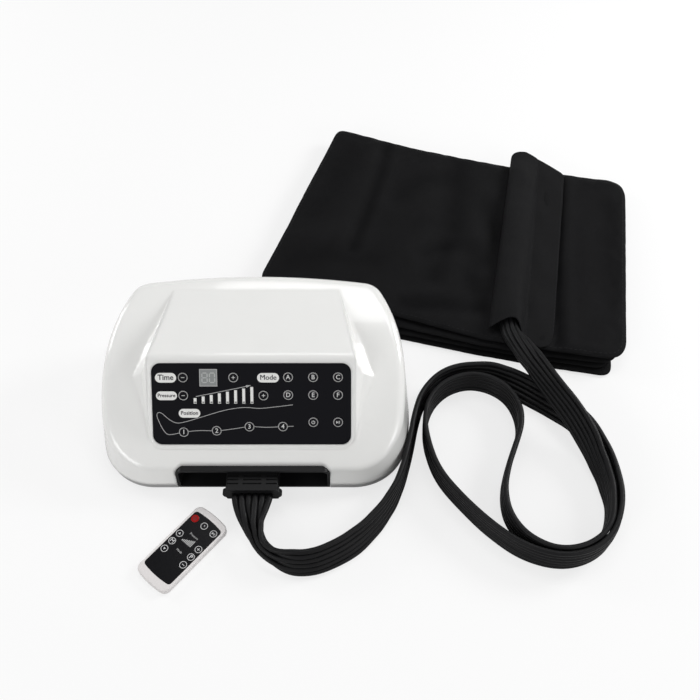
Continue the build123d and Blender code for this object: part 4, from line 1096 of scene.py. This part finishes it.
# an arrow that rises over the bars, a plain leg drawn as one line, and a small square at the foot of each bar
panelLines = {
    "arrow": [(-52.5, 7.2), (-30, 11.7), (-5, 16.9)],
    "arrowHead": [(-0.2, 18.1), (-5.2, 18.0), (-4.6, 15.7)],
    "arrowWidth": 0.55,
    "leg": [
        (39, -0.8), (24, -2.6), (8, -4.2), (-8, -3.4), (-26, -6.2), (-48, -12.8), (-62, -17.0), (-71, -18.4),
        (-78, -15.2), (-85, -9.2), (-88.6, -8.4), (-89.8, -11.2), (-88, -17.2), (-84.6, -24.4),
        (-80.8, -29.0), (-76, -29.6), (-64.8, -27.3), (-50, -25.8), (-33.5, -26), (-18, -24.2), (-2.4, -22),
        (14, -22.6), (29.4, -21.9), (39.5, -21.6),
    ],
    "legWidth": 0.5,
}
barFeet = {"count": 8, "first": -53.2, "pitch": 7.652, "half": 0.95, "low": 0.75, "high": 2.35}

keySigns = {
    "time_minus_key": ((-64.4, 25.4), "-"), "time_plus_key": ((-16.9, 25.4), "+"),
    "pressure_minus_key": ((-64.4, 8.1), "-"), "pressure_plus_key": ((11.3, 8.1), "+"),
    "mode_a_key": ((34.7, 25.7), "A"), "mode_b_key": ((58.2, 25.7), "B"), "mode_c_key": ((81.7, 25.7), "C"),
    "mode_d_key": ((34.7, 8.6), "D"), "mode_e_key": ((58.2, 8.6), "E"), "mode_f_key": ((81.7, 8.6), "F"),
    "position_1_key": ((-64.8, -27.3), "1"), "position_2_key": ((-33.5, -26.0), "2"),
    "position_3_key": ((-2.4, -22.0), "3"), "position_4_key": ((29.4, -21.9), "4"),
    "power_key": ((58.2, -17.7), "power"), "play_key": ((81.7, -17.7), "play"),
}


def printPanel():
    pillInk, wordInk = Ink(marks["panelInk"]), Ink(marks["panelInk"] + marks["thick"])
    for text, ((x, y), width, height, size, bold) in pills.items():
        pillInk.pill((x, y), width, height)
        wordInk.word(text, (x, y + 0.2), size, bold)
        if not bold:  # the M closes up when it is made bold, so this word is struck twice
            wordInk.height += 0.02
            wordInk.word(text, (x + 0.22, y + 0.2), size)
    pillInk.make("panelPills", panelFrame, "printWhite", "set", "bar_white")
    wordInk.make("panelWords", panelFrame, "printDark", "set", "key_black")
    lines = Ink(marks["panelInk"])
    lines.stroke(panelLines["arrow"], panelLines["arrowWidth"])
    lines.add(panelLines["arrowHead"])
    lines.stroke(smoothWay(panelLines["leg"]), panelLines["legWidth"])
    lines.make("panelLines", panelFrame, "printPale", "set", "bar_white")
    feet = Ink(marks["panelInk"])
    for i in range(barFeet["count"]):
        middle = barFeet["first"] + barFeet["pitch"] * i
        feet.box(middle - barFeet["half"], barFeet["low"], middle + barFeet["half"], barFeet["high"])
    feet.make("panelFeet", panelFrame, "printGrey", "set", "bar_white")
    for keyName, (middle, sign) in keySigns.items():
        ink = Ink(marks["keyInk"], middle)
        ink.ring(*marks["keyRing"])
        drawSign(ink, sign, marks["keySign"])
        ink.make("mark_" + keyName, panelFrame, "printKey", keyName, "bar_white")


printPanel()
print("panel printed")

# the lit display: two digits, each of seven bars with pointed ends, and a thin rim
display = {
    "middle": (-40.4, 25.2),
    "digits": ((-3.5, "8"), (3.6, "0")),
    "digitHalf": (2.43, 4.5),
    "bar": 0.54,
    "gap": 0.315,
    "rim": ((8.3, 8.2), (7.7, 7.6)),
}

# the ends of the bars, in halves of a digit; the last is the one across its middle
digitBars = [
    ((-1, 1), (1, 1)), ((-1, -1), (1, -1)), ((-1, 0), (-1, 1)), ((1, 0), (1, 1)), ((-1, -1), (-1, 0)),
    ((1, -1), (1, 0)), ((-1, 0), (1, 0)),
]
digitsLit = {"8": digitBars, "0": digitBars[:-1]}


def drawDigit(ink, middle, lit):
    wide, tall = display["digitHalf"]
    for ends in lit:
        start, end = (Vector((middle + x * wide, y * tall)) for x, y in ends)
        way = (end - start).normalized()
        side = Vector((-way.y, way.x)) * display["bar"]
        start, end = start + way * display["gap"], end - way * display["gap"]
        low, high = start + way * display["bar"], end - way * display["bar"]
        ink.add([start, low - side, high - side, end, high + side, low + side])


def printDisplay():
    digits = Ink(marks["lensInk"], display["middle"])
    for middle, digit in display["digits"]:
        drawDigit(digits, middle, digitsLit[digit])
    digits.make("displayDigits", panelFrame, "digitDim", "set", "lens_grey")
    rim = Ink(marks["lensInk"], display["middle"])
    rim.add(*([(-x, -y), (x, -y), (x, y), (-x, y)] for x, y in display["rim"]))
    rim.make("displayRim", panelFrame, "printPale", "set", "lens_grey")


printDisplay()
print("display printed")

# the remote, with its long way up
remoteSigns = {
    "remote_time_key": ((0, 28.6), "clock"), "remote_play_key": ((12.3, 28.6), "play"),
    "remote_mode_up_key": ((-12.4, 8.6), "up"), "remote_mode_key": ((-12.4, -1.2), "M"),
    "remote_mode_down_key": ((-12.4, -11.1), "down"), "remote_plus_key": ((12.7, 8.6), "+"),
    "remote_pressure_key": ((12.7, -1.2), "P"), "remote_minus_key": ((12.7, -11.1), "-"),
}
remoteWords = {"Pressure": (0, 15.2), "Mode": (0, -4.0)}
remoteBars = {"count": 8, "left": -6.4, "pitch": 1.5, "width": 0.9, "foot": 5.0, "top": 6.6, "rise": 0.8}


def printRemote():
    for keyName, (middle, sign) in remoteSigns.items():
        ink = Ink(marks["remoteKeyInk"], middle)
        ink.ring(*marks["remoteRing"])
        drawSign(ink, sign, marks["remoteSign"])
        ink.make("mark_" + keyName, remoteFrame, "printKey", keyName, "remote_shell")
    ink = Ink(marks["remoteKeyInk"], (-12.3, 28.6))
    drawSign(ink, "power", marks["remotePower"])
    ink.make("mark_remote_power_key", remoteFrame, "redMark", "remote_power_key", "remote_power_red")
    ink = Ink(marks["remoteInk"])
    for k in range(remoteBars["count"]):
        left, top = remoteBars["left"] + k * remoteBars["pitch"], remoteBars["top"] + k * remoteBars["rise"]
        ink.box(left, remoteBars["foot"], left + remoteBars["width"], top)
    for text, middle in remoteWords.items():
        ink.word(text, middle, marks["remoteWord"])
    ink.make("remoteWords", remoteFrame, "printPale", "set", "remote_shell")


printRemote()
print("remote printed")
